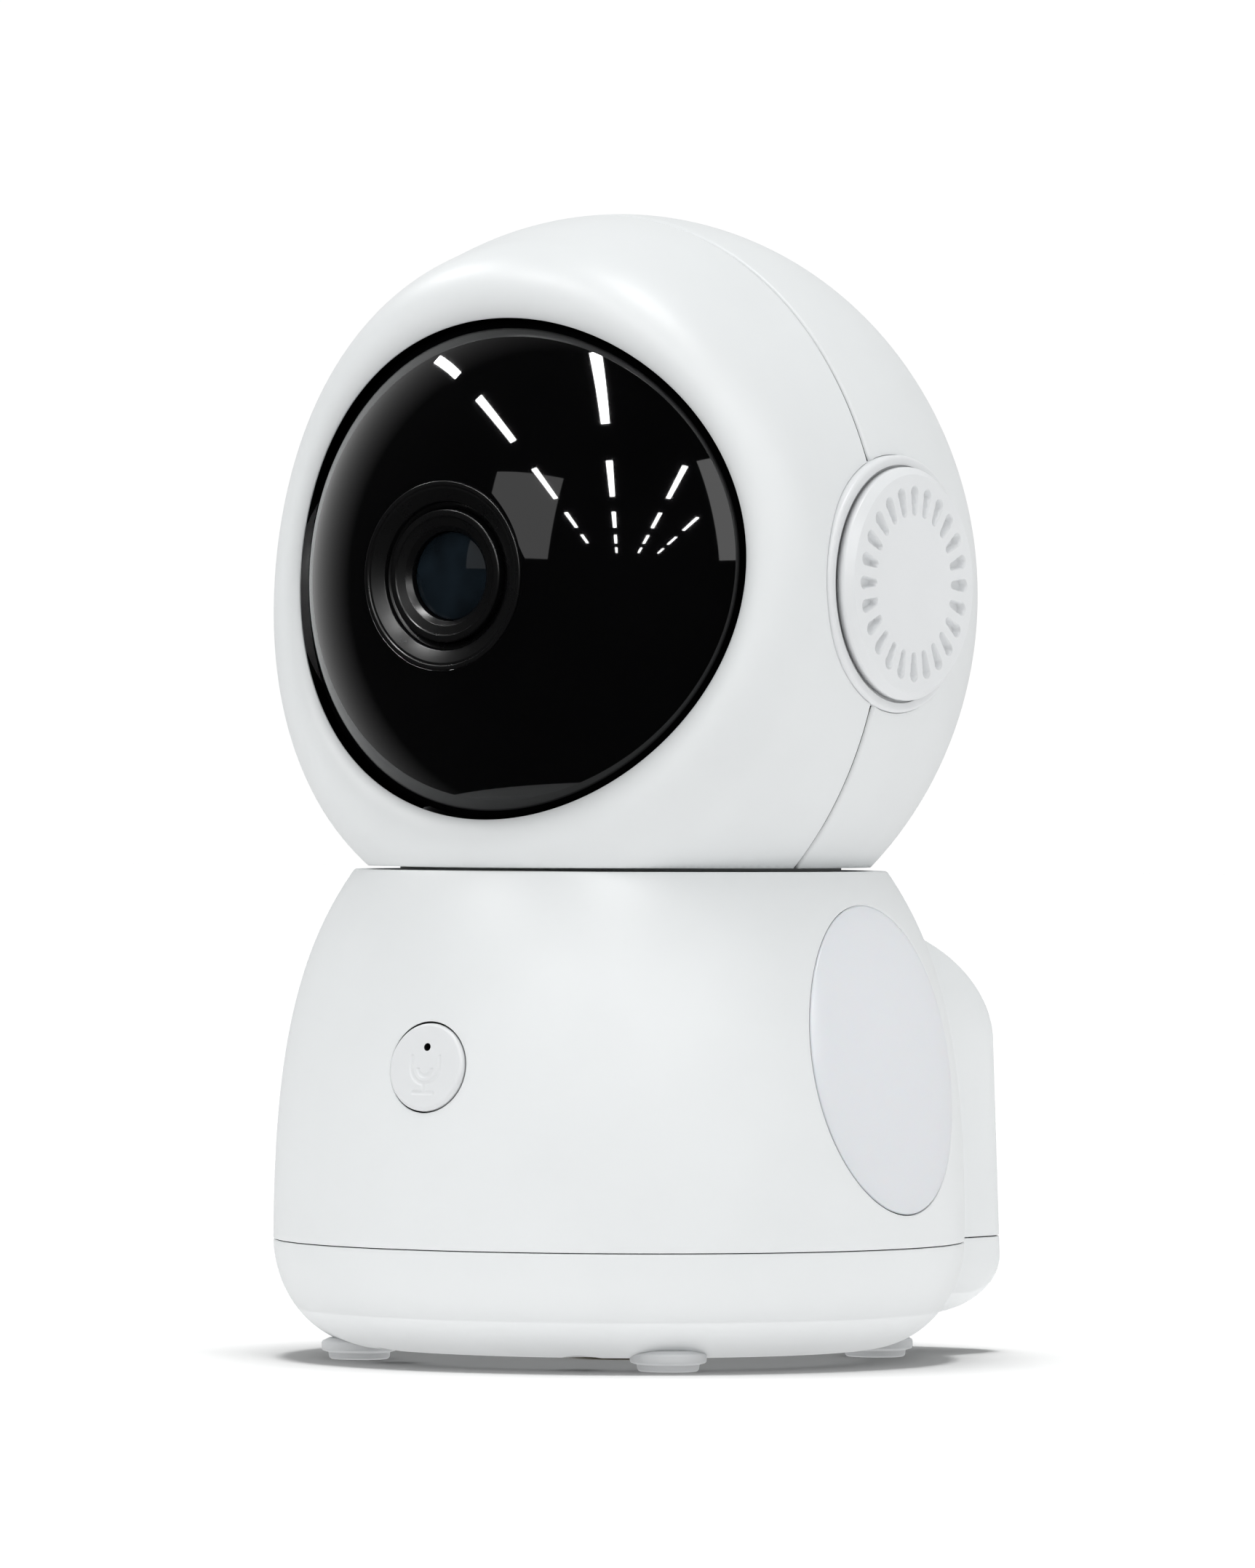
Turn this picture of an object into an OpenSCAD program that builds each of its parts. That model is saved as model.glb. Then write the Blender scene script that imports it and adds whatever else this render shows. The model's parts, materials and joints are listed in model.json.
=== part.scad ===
// Indoor pan-and-tilt security camera: a round base, a head that pans on it, and a black
// lens ball that tilts inside the head. Millimetres, +Z up, front towards -Y.
// The origin is on the pan axis, on the surface that the feet stand on.

/* [Base] */
// Radius of the base at its seam
base_r = 37.6; // [36:0.1:39]
// Height of the base's top rim
base_top_z = 53.1; // [52.5:0.1:53.2]
// Radius of the base's top rim
base_top_r = 28.95; // [28:0.05:30]
// Height of the seam between the upper housing and the bottom pan
seam_z = 12.8; // [11:0.1:14]
// Lowest point of the bottom pan
belly_z = 1.3; // [1:0.1:1.6]
// Half width of the bulge at the back
hump_w = 26.3; // [24:0.1:27]
// How far back the bulge reaches
hump_y = 41.6; // [40.5:0.1:43]
// Corner radius of the bulge, seen from above
hump_corner = 8; // [5:0.5:10]
// Lowest point of the bulge
hump_low_z = 4.2; // [3:0.1:5]
// Height where the bulge's shoulder begins to round
hump_shoulder_z = 34; // [30:1:35]
// Radius of the bulge's shoulder
hump_shoulder_r = 14.5; // [12:0.5:15]
// Wall thickness of the base housing
base_wall = 2; // [1.5:0.1:2.5]
// Distance of each foot from the middle, along X and along Y
foot_at = 20.2; // [19:0.1:21]
// Radius of a foot
foot_r = 4.1; // [3.5:0.1:4.5]

/* [Head] */
// Height of the head's middle
head_z = 83; // [82.5:0.1:83.5]
// Half width of the head along the tilt axis
head_half_x = 37.5; // [37:0.1:38]
// Radius of the head about the tilt axis
head_r = 41.45; // [41:0.05:42]
// Height of the flat underside of the head
neck_z = 53.5; // [53.4:0.1:54]
// Where the head's two shells meet, along Y
head_seam_y = -4.7; // [-6:0.1:-3]
// Wall thickness of the head shells
head_wall = 2; // [1.6:0.1:2.2]
// Half width of the face opening
face_half_x = 29.5; // [28:0.1:29.6]
// Half height of the face opening
face_half_z = 26.7; // [25:0.1:27]
// Height of the face opening's middle
face_z = 85.7; // [85:0.1:86]
// Radius of an ear's flange
ear_r = 13.8; // [13.4:0.1:14]
// Radius of an ear's cap
ear_cap_r = 12.5; // [12:0.1:12.8]
// How far out an ear's cap reaches
ear_out_x = 37.8; // [37.5:0.1:38.2]
// Number of slots around an ear's cap
ear_slots = 24; // [12:1:30]

/* [Lens ball] */
// Height of the tilt axis
tilt_z = 84; // [83.8:0.1:84.2]
// Radius of the lens ball about the tilt axis
ball_r = 35.6; // [35.2:0.1:35.7]
// Half width of the rounded form that the ball is cut from
ball_form_x = 33.4; // [33:0.1:33.8]
// Gap between the ball and the head's face opening
ball_gap = 1; // [0.5:0.1:1.2]
// Wall thickness of the lens ball
ball_wall = 1.6; // [1.2:0.1:1.8]
// Half width of the ball between its flat ends
ball_half_x = 30.5; // [30.2:0.1:30.6]
// Radius of the trim ring around the lens
lens_ring_r = 10.1; // [9.5:0.1:11]
// Radius of the lens barrel
barrel_r = 7.1; // [6.5:0.1:7.3]
// Radius of the front glass
glass_r = 4.7; // [4:0.1:5]

/* [Drives] */
// Gear module
gear_mod = 0.7; // [0.7:0.1:0.7]
// Teeth on each driven gear
gear_teeth = 48; // [48:12:48]
// Teeth on each motor pinion
pinion_teeth = 12; // [12:12:12]
// Width of each gear's teeth along its axis
gear_width = 2.5; // [2:0.1:2.6]
// Radius of each motor's can
motor_r = 10; // [8:0.5:10.5]
// Length of each motor's can
motor_h = 15; // [12:1:16]

/* [Controls] */
// Radius of the call button
button_r = 4.75; // [4.5:0.05:5]
// Height of the call button's middle
button_z = 32.3; // [30:0.1:34]
// How far the call button's face leans back
button_lean = 10; // [8:1:12]
// Half height of a side cover
cover_half_z = 16.5; // [15:0.5:17]
// Half width of a side cover
cover_half_y = 13.3; // [11:0.1:14]
// Height of a side cover's middle
cover_z = 33; // [32:0.5:34]
// Thread radius of the tripod socket
tripod_r = 3.175; // [3.175:0.001:3.175]

/* [Hidden] */
$fn = 96;
FINE = 24;
HUGE = 200;
SEAM_GAP = 0.1;
BELLY_CORNER = [10.6, 11.9];
CURVE_STEPS = 20;
button_y = -36.45;
hole_clear = 0.2;
bearing_clear = 0.05;
pinion_at = gear_mod * (gear_teeth + pinion_teeth) / 2;
plate_z = 38.5;
plate_h = 2;
plate_r = 31;
drum_r = 24;
drum_floor_z = 46;
drum_floor_h = 1.6;
pan_gear_z = 42.6;
pan_shaft_r = 5.5;
pan_shaft_bore = 4;
board_z = 16;
board_h = 1.6;
leg_at = 19.1;
front_screw = [12, -24.5];
screw_head_r = 2;
screw_head_z = 7.2;
screw_head_h = 1.8;
post_rib = 2;
rear_screw = [20.5, 36];
tilt_gear_x = -24.5;
motor_plate_x = -21;
ear_hole_r = 12.5;
ear_seat_x = 35;
ear_flange_h = 1.1;
ear_cap_x = ear_seat_x + ear_flange_h;
hub_r = 2.4;
socket_x = 4.5;
socket_z = board_z + board_h + 1.6;
card_x = -9.5;
card_z = board_z + board_h + 1;
reset_at = [13.5, 19.4];

// ---------- shared shapes ----------

// One point of a cubic curve
function bezier(p, t) = pow(1 - t, 3) * p[0] + 3 * t * pow(1 - t, 2) * p[1]
    + 3 * t * t * (1 - t) * p[2] + pow(t, 3) * p[3];

// Half outline [radius, height] of the base, moved in by "inset"
function base_outline(inset) = concat(
    [[0, belly_z + inset]],
    [for (a = [90 : -90 / CURVE_STEPS : 0])
        [base_r - BELLY_CORNER[0] + (BELLY_CORNER[0] - inset) * cos(a),
         belly_z + BELLY_CORNER[1] - (BELLY_CORNER[1] - inset) * sin(a)]],
    [for (i = [1 : CURVE_STEPS])
        let (q = bezier([[base_r, belly_z + BELLY_CORNER[1]], [base_r, 33], [base_r - 2.35, 44.1],
                         [base_top_r, base_top_z]], i / CURVE_STEPS))
        [q[0] - inset, min(q[1], base_top_z - inset)]],
    [[0, base_top_z - inset]]
);

// Half outline of the bulge on one side: rounded foot, slight draft, rounded shoulder
function hump_outline(reach, inset) = let (
        foot = 6.5 - inset, shoulder = hump_shoulder_r - inset, top = reach - inset - 0.6)
    concat(
        [[0, hump_low_z + inset]],
        [for (a = [-90 : 15 : 0])
            [reach - 6.5 + foot * cos(a), hump_low_z + 6.5 + foot * sin(a)]],
        [for (a = [0 : 9 : 90])
            [top - shoulder + shoulder * cos(a), hump_shoulder_z + shoulder * sin(a)]],
        [[0, hump_shoulder_z + shoulder]]
    );

// Half outline of the head about the tilt axis: [radius, place along the axis]
function head_outline(inset) = [for (a = [-90 : 4.5 : 90])
    [(head_r - inset) * cos(a), (head_half_x - inset) * sin(a)]];

// Half outline of the ball about the tilt axis, cut off flat at half_x on both sides
function ball_outline(inset, half_x) = let (
        long = ball_form_x - inset, end = asin(min(1, half_x / long)))
    concat([[0, -half_x]],
           [for (i = [-CURVE_STEPS : CURVE_STEPS])
               let (a = end * i / CURVE_STEPS) [(ball_r - inset) * cos(a), long * sin(a)]],
           [[0, half_x]]);

function involute(a) = tan(a) * 180 / PI - a;

// Outline of a spur gear with 25 degree flanks and short teeth; "slack" thins each tooth
function gear_outline(teeth, slack = 0.07) = let (
        pitch = gear_mod * teeth / 2, base = pitch * cos(25), tip = pitch + 0.8 * gear_mod,
        root = pitch - 1.1 * gear_mod, steps = [root, max(base, root + 0.01), pitch, tip])
    [for (i = [0 : teeth - 1]) for (side = [-1, 1]) for (k = [0 : 3])
        let (r = steps[side < 0 ? k : 3 - k],
             spread = 90 / teeth - slack / pitch * 180 / PI + involute(25)
                 - involute(acos(min(1, base / max(r, base)))),
             angle = 360 * i / teeth + side * spread)
        [r * cos(angle), r * sin(angle)]];

module along_x() { rotate([90, 0, 90]) children(); }
module along_y() { rotate([-90, 0, 0]) children(); }
module at_tilt_axis() { translate([0, 0, tilt_z]) along_x() children(); }
module tube(r_out, r_in, h) {
    difference() {
        cylinder(r = r_out, h = h);
        translate([0, 0, -1]) cylinder(r = r_in, h = h + 2);
    }
}
module above(z) { translate([-HUGE / 2, -HUGE / 2, z]) cube(HUGE); }
module below(z) { translate([-HUGE / 2, -HUGE / 2, z - HUGE]) cube(HUGE); }
module in_front_of(y) { translate([-HUGE / 2, y - HUGE, -HUGE / 4]) cube(HUGE); }
module behind(y) { translate([-HUGE / 2, y, -HUGE / 4]) cube(HUGE); }
module ellipse_prism(half_x, half_y, h) {
    linear_extrude(height = h)
        polygon([for (a = [0 : 5 : 355]) [half_x * cos(a), half_y * sin(a)]]);
}

// ---------- base ----------

module hump_plan(inset) {
    r = hump_corner - inset;
    for (side = [-1, 1])
        translate([side * (hump_w - hump_corner), hump_y - hump_corner]) circle(r = r);
    translate([-(hump_w - inset), 0]) square([2 * (hump_w - inset), hump_y - hump_corner]);
    translate([-(hump_w - hump_corner), 0])
        square([2 * (hump_w - hump_corner), hump_y - inset]);
}
module hump(inset) {
    side = hump_outline(hump_w, inset);
    intersection() {
        linear_extrude(height = 60) hump_plan(inset);
        translate([-HUGE / 2, 0, 0]) along_x() linear_extrude(height = HUGE)
            polygon(hump_outline(hump_y, inset));
        rotate([90, 0, 0]) translate([0, 0, -HUGE / 2]) linear_extrude(height = HUGE)
            polygon(concat(side, [for (i = [len(side) - 1 : -1 : 0]) [-side[i][0], side[i][1]]]));
    }
}
module base_solid(inset) {
    union() {
        rotate_extrude() polygon(base_outline(inset));
        hump(inset);
    }
}
module at_button() {
    translate([0, button_y, button_z]) rotate([90 - button_lean, 0, 0]) children();
}
module at_side(side) {
    translate([side > 0 ? 22 : -42, 0, cover_z]) along_x() children();
}
module screw_places() {
    for (side = [-1, 1]) {
        translate([side * front_screw[0], front_screw[1], 0]) children();
        translate([side * rear_screw[0], rear_screw[1], 0]) children();
    }
}

module base_shell() {
    color("white") difference() {
        union() {
            difference() {
                base_solid(0);
                base_solid(base_wall);
            }
            intersection() {
                union() {
                    screw_places() cylinder(r = 3.2, h = 24, $fn = FINE);
                    for (side = [-1, 1])
                        translate([side * front_screw[0] - post_rib / 2, -40, 0])
                            cube([post_rib, 40 + front_screw[1], 22.5]);
                }
                base_solid(base_wall / 2);
            }
        }
        below(seam_z + SEAM_GAP);
        cylinder(r = drum_r + 0.6, h = 60);
        screw_places() cylinder(r = 1.45, h = 22, $fn = FINE);
        at_button() translate([0, 0, -8]) cylinder(r = button_r + hole_clear, h = 16);
        for (side = [-1, 1])
            at_side(side) ellipse_prism(cover_half_y + 0.15, cover_half_z + 0.15, 20);
        translate([socket_x - 4.8, hump_y - 5, socket_z - 1.9]) cube([9.6, 10, 3.8]);
        translate([card_x - 6.3, hump_y - 5, card_z - 0.9]) cube([12.6, 10, 1.8]);
        translate([reset_at[0], hump_y - 5, reset_at[1]]) along_y() cylinder(r = 1.7, h = 10);
    }
}
module base_bottom() {
    color("white") difference() {
        union() {
            difference() {
                base_solid(0);
                base_solid(base_wall);
            }
            intersection() {
                union() {
                    screw_places() cylinder(r = 3.4, h = seam_z, $fn = FINE);
                    for (x = [-leg_at, leg_at], y = [-leg_at, leg_at])
                        translate([x, y, 0]) cylinder(r = 3, h = seam_z, $fn = FINE);
                }
                base_solid(base_wall / 2);
            }
            translate([0, 0, 0.7]) cylinder(r = 7.5, h = 9.3);
        }
        above(seam_z);
        translate([0, 0, -1]) cylinder(r = 5, h = 9);
        screw_places() cylinder(r = 1.6, h = 20, $fn = FINE);
        screw_places() cylinder(r = screw_head_r + 0.3, h = screw_head_z + screw_head_h, $fn = FINE);
        for (x = [-foot_at, foot_at], y = [-foot_at, foot_at]) translate([x, y, -1]) {
            cylinder(r = foot_r, h = 3.2);
            cylinder(r = 2.5, h = 6);
        }
    }
}
module tripod_insert() {
    color("goldenrod") translate([0, 0, 0.7]) tube(5, tripod_r, 7);
}
module ballast_plate() {
    color("dimgray") translate([0, 0, 3.5]) tube(22.5, 8, 3);
}
module base_screws() {
    color("silver") screw_places() {
        translate([0, 0, screw_head_z]) {
            cylinder(r = screw_head_r, h = screw_head_h, $fn = FINE);
            translate([0, 0, screw_head_h]) cylinder(r = 1.4, h = 12, $fn = FINE);
        }
    }
}
module foot(x, y) {
    color("whitesmoke") translate([x * foot_at, y * foot_at, 0]) {
        cylinder(r = foot_r, h = 2.2);
        translate([0, 0, 2.2]) cylinder(r = 2.45, h = 2.6);
    }
}
module side_cover(side) {
    color("lavender") intersection() {
        at_side(side) ellipse_prism(cover_half_y, cover_half_z, 20);
        difference() {
            rotate_extrude() polygon(base_outline(-0.8));
            rotate_extrude() polygon(base_outline(base_wall - 0.2));
        }
    }
}
module lamp_board(side) {
    color("seagreen") translate([side * 30.6 - 0.6, -8, 20]) cube([1.2, 16, 17]);
    color("lightyellow") for (y = [-5, 0, 5], z = [24, 33])
        translate([side * 31.7 - 0.5, y - 1.2, z - 1.2]) cube([1, 2.4, 2.4]);
}
module call_button() {
    color("white") at_button() difference() {
        union() {
            translate([0, 0, -3.4]) cylinder(r = button_r, h = 3.65);
            translate([0, 0, -3.8]) cylinder(r = 5.9, h = 0.8);
        }
        translate([0, 2.1, -5]) cylinder(r = 0.45, h = 6, $fn = FINE);
    }
}
module button_board() {
    color("seagreen") at_button() translate([-8, -7.5, -10.2]) cube([16, 15, 1.6]);
}
module button_switch() {
    color("dimgray") at_button() {
        translate([-3, -3, -8.6]) cube([6, 6, 3.2]);
        translate([0, 0, -5.4]) cylinder(r = 1.6, h = 0.9, $fn = FINE);
    }
}
module microphone() {
    color("gold") at_button() translate([-1.5, 4, -8.6]) cube([3, 3, 1.1]);
}
module main_board() {
    chips = [[-9, -9, 11, 11, 1.2], [5, -12, 9, 9, 1], [-16, 5, 8, 6, 1.4], [11, 0, 7, 7, 1.1]];
    color("seagreen") translate([0, 0, board_z]) difference() {
        union() {
            cylinder(r = 28.8, h = board_h);
            translate([-16.5, 0, 0]) cube([33, 37.4, board_h]);
        }
        for (side = [-1, 1]) translate([side * front_screw[0], front_screw[1], -1])
            cylinder(r = 3.4, h = 4, $fn = FINE);
    }
    color("black") for (c = chips)
        translate([c[0], c[1], board_z + board_h]) cube([c[2], c[3], c[4]]);
}
module power_socket() {
    color("silver") difference() {
        translate([socket_x - 4.5, hump_y - 8, socket_z - 1.6]) cube([9, 7.6, 3.2]);
        translate([socket_x - 4.1, hump_y - 6.5, socket_z - 1.2]) cube([8.2, 8, 2.4]);
    }
    color("black") translate([socket_x - 3.3, hump_y - 6.6, socket_z - 0.35]) cube([6.6, 5, 0.7]);
}
module card_socket() {
    color("silver") difference() {
        translate([card_x - 7, hump_y - 17, card_z - 1]) cube([14, 14.3, 2]);
        translate([card_x - 5.8, hump_y - 15.5, card_z - 0.5]) cube([11.6, 16, 1]);
    }
}
module reset_button() {
    color("white") translate([reset_at[0], 0, reset_at[1]]) along_y() {
        translate([0, 0, hump_y - 2.8]) cylinder(r = 1.5, h = 2.6);
        translate([0, 0, hump_y - 3.6]) cylinder(r = 2.4, h = 0.8);
    }
}
module reset_switch() {
    color("dimgray") translate([reset_at[0] - 2, hump_y - 8.2, board_z + board_h]) cube([4, 4, 3.6]);
}
module bearing_plate() {
    color("lightgray") difference() {
        union() {
            translate([0, 0, plate_z]) cylinder(r = plate_r, h = plate_h);
            for (x = [-leg_at, leg_at], y = [-leg_at, leg_at])
                translate([x, y, board_z + board_h])
                    cylinder(r = 2.5, h = plate_z - board_z - board_h + 0.5, $fn = FINE);
            translate([-0.8, 12.6, plate_z]) cube([1.6, 2.4, plate_h + 1.2]);
        }
        translate([0, 0, plate_z - 1]) cylinder(r = 8, h = 5);
        translate([0, pinion_at, plate_z - 1]) cylinder(r = 3.2, h = 5);
    }
}
module pan_bush() {
    color("goldenrod") {
        difference() {
            union() {
                translate([0, 0, plate_z - 0.9]) cylinder(r = 8, h = plate_h + 0.9);
                translate([0, 0, plate_z + plate_h]) cylinder(r = 9.5, h = 0.9);
            }
            cylinder(r = pan_shaft_r + bearing_clear, h = 60);
        }
    }
}
module motor_can(block_turn) {
    difference() {
        union() {
            translate([0, 0, -motor_h]) cylinder(r = motor_r, h = motor_h - 0.8);
            translate([0, 0, -0.8]) linear_extrude(height = 0.8) {
                circle(r = motor_r);
                translate([-13.5, -3]) square([27, 6]);
            }
            cylinder(r = 3, h = 1.2);
        }
        translate([0, 0, -4]) cylinder(r = 1.6, h = 8, $fn = FINE);
    }
    rotate([0, 0, block_turn]) translate([-4, motor_r - 1, -motor_h + 2]) cube([8, 3, 8]);
}
module pinion_with_shaft(shaft_from) {
    rotate([0, 0, 180 / pinion_teeth]) linear_extrude(height = gear_width + 0.4)
        polygon(gear_outline(pinion_teeth));
    translate([0, 0, shaft_from]) cylinder(r = 1.5, h = -shaft_from, $fn = FINE);
}
module pan_motor() {
    color("silver") translate([0, pinion_at, plate_z]) motor_can(180);
}
module pan_pinion() {
    color("ivory") translate([0, pinion_at, pan_gear_z - 0.2])
        pinion_with_shaft(plate_z - 3.5 - pan_gear_z);
}

// ---------- head ----------

module head_solid(inset) {
    translate([0, 0, head_z]) along_x() rotate_extrude() polygon(head_outline(inset));
}
module head_shell() {
    difference() {
        union() {
            difference() {
                head_solid(0);
                intersection() {
                    head_solid(head_wall);
                    above(neck_z + head_wall);
                }
            }
            intersection() {
                head_solid(head_wall / 2);
                translate([0, -10, face_z]) rotate([90, 0, 0])
                    ellipse_prism(face_half_x + 1.8, face_half_z + 1.8, 40);
            }
        }
        below(neck_z);
        cylinder(r = drum_r + 0.1, h = 60);
        translate([0, -8, face_z]) rotate([90, 0, 0]) ellipse_prism(face_half_x, face_half_z, 60);
        ball_form(-ball_gap, ball_form_x + ball_gap / 2);
        translate([-HUGE / 2, 0, 0]) at_tilt_axis() cylinder(r = ear_hole_r, h = HUGE);
        for (side = [-1, 1]) on_side(side) at_tilt_axis()
            translate([0, 0, ear_seat_x]) cylinder(r = ear_r + 0.05, h = 10);
        frame_screw_places() cylinder(r = 0.68, h = 60, $fn = FINE);
    }
}
module frame_screw_places() {
    for (a = [50, 130]) rotate([0, 0, a]) translate([24.5, 0, 0]) children();
}
module head_front_shell() {
    color("white") intersection() {
        head_shell();
        in_front_of(head_seam_y - SEAM_GAP / 2);
    }
}
module head_rear_shell() {
    color("white") intersection() {
        head_shell();
        behind(head_seam_y + SEAM_GAP / 2);
    }
}
module head_frame() {
    wall = 1.6;
    lip_z = neck_z + head_wall;
    color("lightgray") difference() {
        rotate_extrude() polygon([
            [pan_shaft_r, drum_floor_z], [drum_r, drum_floor_z], [drum_r, lip_z],
            [25.2, lip_z], [25.2, lip_z + 1.5], [23.8, lip_z + 1.5], [drum_r - wall, lip_z],
            [drum_r - wall, drum_floor_z + drum_floor_h], [pan_shaft_r, drum_floor_z + drum_floor_h]
        ]);
        frame_screw_places() cylinder(r = 0.68, h = 60, $fn = FINE);
    }
}
module frame_screws() {
    top = neck_z + head_wall + 1.5;
    color("silver") frame_screw_places() {
        translate([0, 0, top]) cylinder(r = 0.9, h = 0.7, $fn = FINE);
        translate([0, 0, top - 3]) cylinder(r = 0.65, h = 3, $fn = FINE);
    }
}
module pan_gear() {
    color("ivory") difference() {
        union() {
            translate([0, 0, pan_gear_z]) linear_extrude(height = gear_width)
                polygon(gear_outline(gear_teeth));
            translate([0, 0, 41.5]) cylinder(r = 9.5, h = drum_floor_z - 41.5);
            translate([0, 0, 35.6]) cylinder(r = pan_shaft_r, h = 12);
            translate([-0.8, -15, pan_gear_z - 1.4]) cube([1.6, 2.4, 1.6]);
        }
        translate([0, 0, 30]) cylinder(r = pan_shaft_bore, h = 20);
        translate([0, 0, 36.5]) tube(7, 4.8, 0.9);
    }
}
module pan_clip() {
    color("silver") translate([0, 0, 36.55]) tube(7.6, 4.85, 0.8);
}
module ear_flange(side) {
    color("white") on_side(side) at_tilt_axis() difference() {
        union() {
            translate([0, 0, 31.2]) cylinder(r = 5, h = 1);
            translate([0, 0, 32]) cylinder(r = ear_hole_r - 0.05, h = ear_seat_x - 32);
            translate([0, 0, ear_seat_x]) cylinder(r = ear_r, h = ear_flange_h);
        }
        translate([0, 0, 30]) cylinder(r = hub_r + bearing_clear, h = 4);
        translate([0, 0, 33.3]) cylinder(r = 10.8, h = 5);
    }
}
module on_side(side) {
    if (side > 0) children();
    else mirror([1, 0, 0]) children();
}
module ear_cap(side) {
    face = 0.9;
    slot_floor = ear_out_x - 0.5;
    color("white") on_side(side) at_tilt_axis() difference() {
        translate([0, 0, ear_cap_x]) rotate_extrude()
            polygon([[0, 0], [ear_cap_r, 0], [ear_cap_r, 0.9],
                     [ear_cap_r - 0.8, ear_out_x - ear_cap_x], [0, ear_out_x - ear_cap_x]]);
        translate([0, 0, 36]) cylinder(r = 10.8, h = ear_out_x - 36 - face);
        for (i = [0 : ear_slots - 1]) rotate([0, 0, i * 360 / ear_slots]) {
            for (r = [8.1, 9.75]) translate([r, 0, slot_floor]) cylinder(r = 0.6, h = 2, $fn = FINE);
            translate([8.1, -0.6, slot_floor]) cube([1.65, 1.2, 2]);
        }
    }
}
module speaker(side) {
    color("dimgray") on_side(side) at_tilt_axis() {
        translate([0, 0, 33.6]) cylinder(r = 10.2, h = 2);
        translate([0, 0, 35.6]) tube(10.2, 7, 0.9);
    }
}
module tilt_bracket() {
    color("lightgray") difference() {
        intersection() {
            translate([motor_plate_x, 11, tilt_z - 27]) cube([1.6, 30, 50]);
            head_solid(head_wall + 0.05);
            translate([motor_plate_x - 1, 0, tilt_z]) along_x() linear_extrude(height = 4)
                polygon([[14, 0], [14, 14], [40, 34], [40, -46], [14, -16]]);
        }
        translate([0, pinion_at, tilt_z]) along_x() translate([0, 0, -30])
            cylinder(r = 3.2, h = 20);
    }
}
module tilt_motor() {
    color("silver") translate([motor_plate_x + 1.6, pinion_at, tilt_z])
        rotate([0, -90, 0]) motor_can(-90);
}
module tilt_pinion() {
    color("ivory") translate([tilt_gear_x - 0.2, pinion_at, tilt_z]) {
        along_x() rotate([0, 0, 180 / pinion_teeth]) linear_extrude(height = gear_width + 0.4)
            polygon(gear_outline(pinion_teeth));
        along_x() translate([0, 0, gear_width]) cylinder(r = 1.5, h = 5.8, $fn = FINE);
    }
}
module head_board() {
    color("seagreen") translate([-2, 31.8, 70]) cube([16, 1.2, 26]);
    color("black") translate([1, 30.8, 76]) cube([10, 1, 10]);
}
module antenna() {
    color("gold") translate([-8, 27.6, head_z + 17]) cube([18, 0.6, 6]);
}

// ---------- lens ball ----------

module ball_form(inset, half_x) {
    at_tilt_axis() rotate_extrude() polygon(ball_outline(inset, half_x));
}
module at_lens(y) { translate([0, y, tilt_z + 0.5]) along_y() children(); }
module ball_front() {
    color("black") difference() {
        ball_form(0, ball_half_x);
        ball_form(ball_wall, ball_half_x - 1.5);
        behind(0);
        at_lens(-40) cylinder(r = lens_ring_r + 0.05, h = 20);
    }
}
module ball_back() {
    color("dimgray") difference() {
        union() {
            intersection() {
                ball_form(0.4, ball_half_x);
                translate([-50, 0, 0]) cube([100, 1.6, 150]);
            }
            intersection() {
                translate([-ball_half_x, 0, 0]) at_tilt_axis() cylinder(r = 12, h = 2 * ball_half_x);
                behind(0);
            }
        }
        translate([-(ball_half_x - 1.5), 1.6, 0]) cube([2 * ball_half_x - 3, 50, 150]);
        ball_screw_places() cylinder(r = 0.85, h = 10, $fn = FINE);
    }
}
module ball_screw_places() {
    for (x = [-12, 12], z = [-26, 26]) translate([x, -4, tilt_z + z]) along_y() children();
}
module ball_screws() {
    color("silver") ball_screw_places() {
        translate([0, 0, 5.6]) cylinder(r = 1.6, h = 0.9, $fn = FINE);
        translate([0, 0, 1]) cylinder(r = 0.8, h = 4.6, $fn = FINE);
    }
}
module tilt_hub(side) {
    color("ivory") on_side(side) at_tilt_axis() {
        translate([0, 0, ball_half_x]) cylinder(r = 8, h = 0.5);
        translate([0, 0, ball_half_x + 0.5]) cylinder(r = hub_r, h = 2.1);
    }
}
module tilt_gear() {
    color("ivory") intersection() {
        translate([tilt_gear_x, 0, tilt_z]) along_x() linear_extrude(height = gear_width)
            polygon(gear_outline(gear_teeth));
        behind(1.6);
    }
}
module lens_ring() {
    color("black") at_lens(-34.1) rotate_extrude()
        polygon([[lens_ring_r, 0], [lens_ring_r, 3], [barrel_r + 0.1, 3], [barrel_r + 0.1, 1.2],
                 [lens_ring_r - 0.7, 0]]);
}
module lens_barrel() {
    color("black") at_lens(-33.6) rotate_extrude()
        polygon([[barrel_r, 0], [barrel_r, 4], [6, 4], [6, 16], [4.6, 16], [4.6, 2],
                 [glass_r + 0.1, 2], [glass_r + 0.1, 0.8], [barrel_r - 0.8, 0]]);
}
module front_glass() {
    color("midnightblue") at_lens(-33.1) intersection() {
        cylinder(r = glass_r, h = 1.5);
        translate([0, 0, 11.2]) sphere(r = 11.2);
    }
}
module inner_lens() {
    color("midnightblue") at_lens(-27) intersection() {
        cylinder(r = 4.5, h = 2);
        translate([0, 0, 9]) sphere(r = 9);
    }
}
module lens_holder() {
    color("black") difference() {
        translate([-8, -17.5, tilt_z + 0.5 - 8]) cube([16, 6, 16]);
        at_lens(-19) cylinder(r = 6.05, h = 6);
    }
}
module sensor_board() {
    color("seagreen") translate([-14, -11.5, tilt_z - 14]) cube([28, 1.4, 28]);
}
module infrared_board() {
    color("seagreen") at_lens(-26) tube(18.5, 12, 1.2);
}
module infrared_lamps() {
    color("lightgray") for (a = [30 : 60 : 330]) at_lens(-28) rotate([0, 0, a])
        translate([15, 0, 0]) cylinder(r = 1.8, h = 2, $fn = FINE);
}

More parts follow.
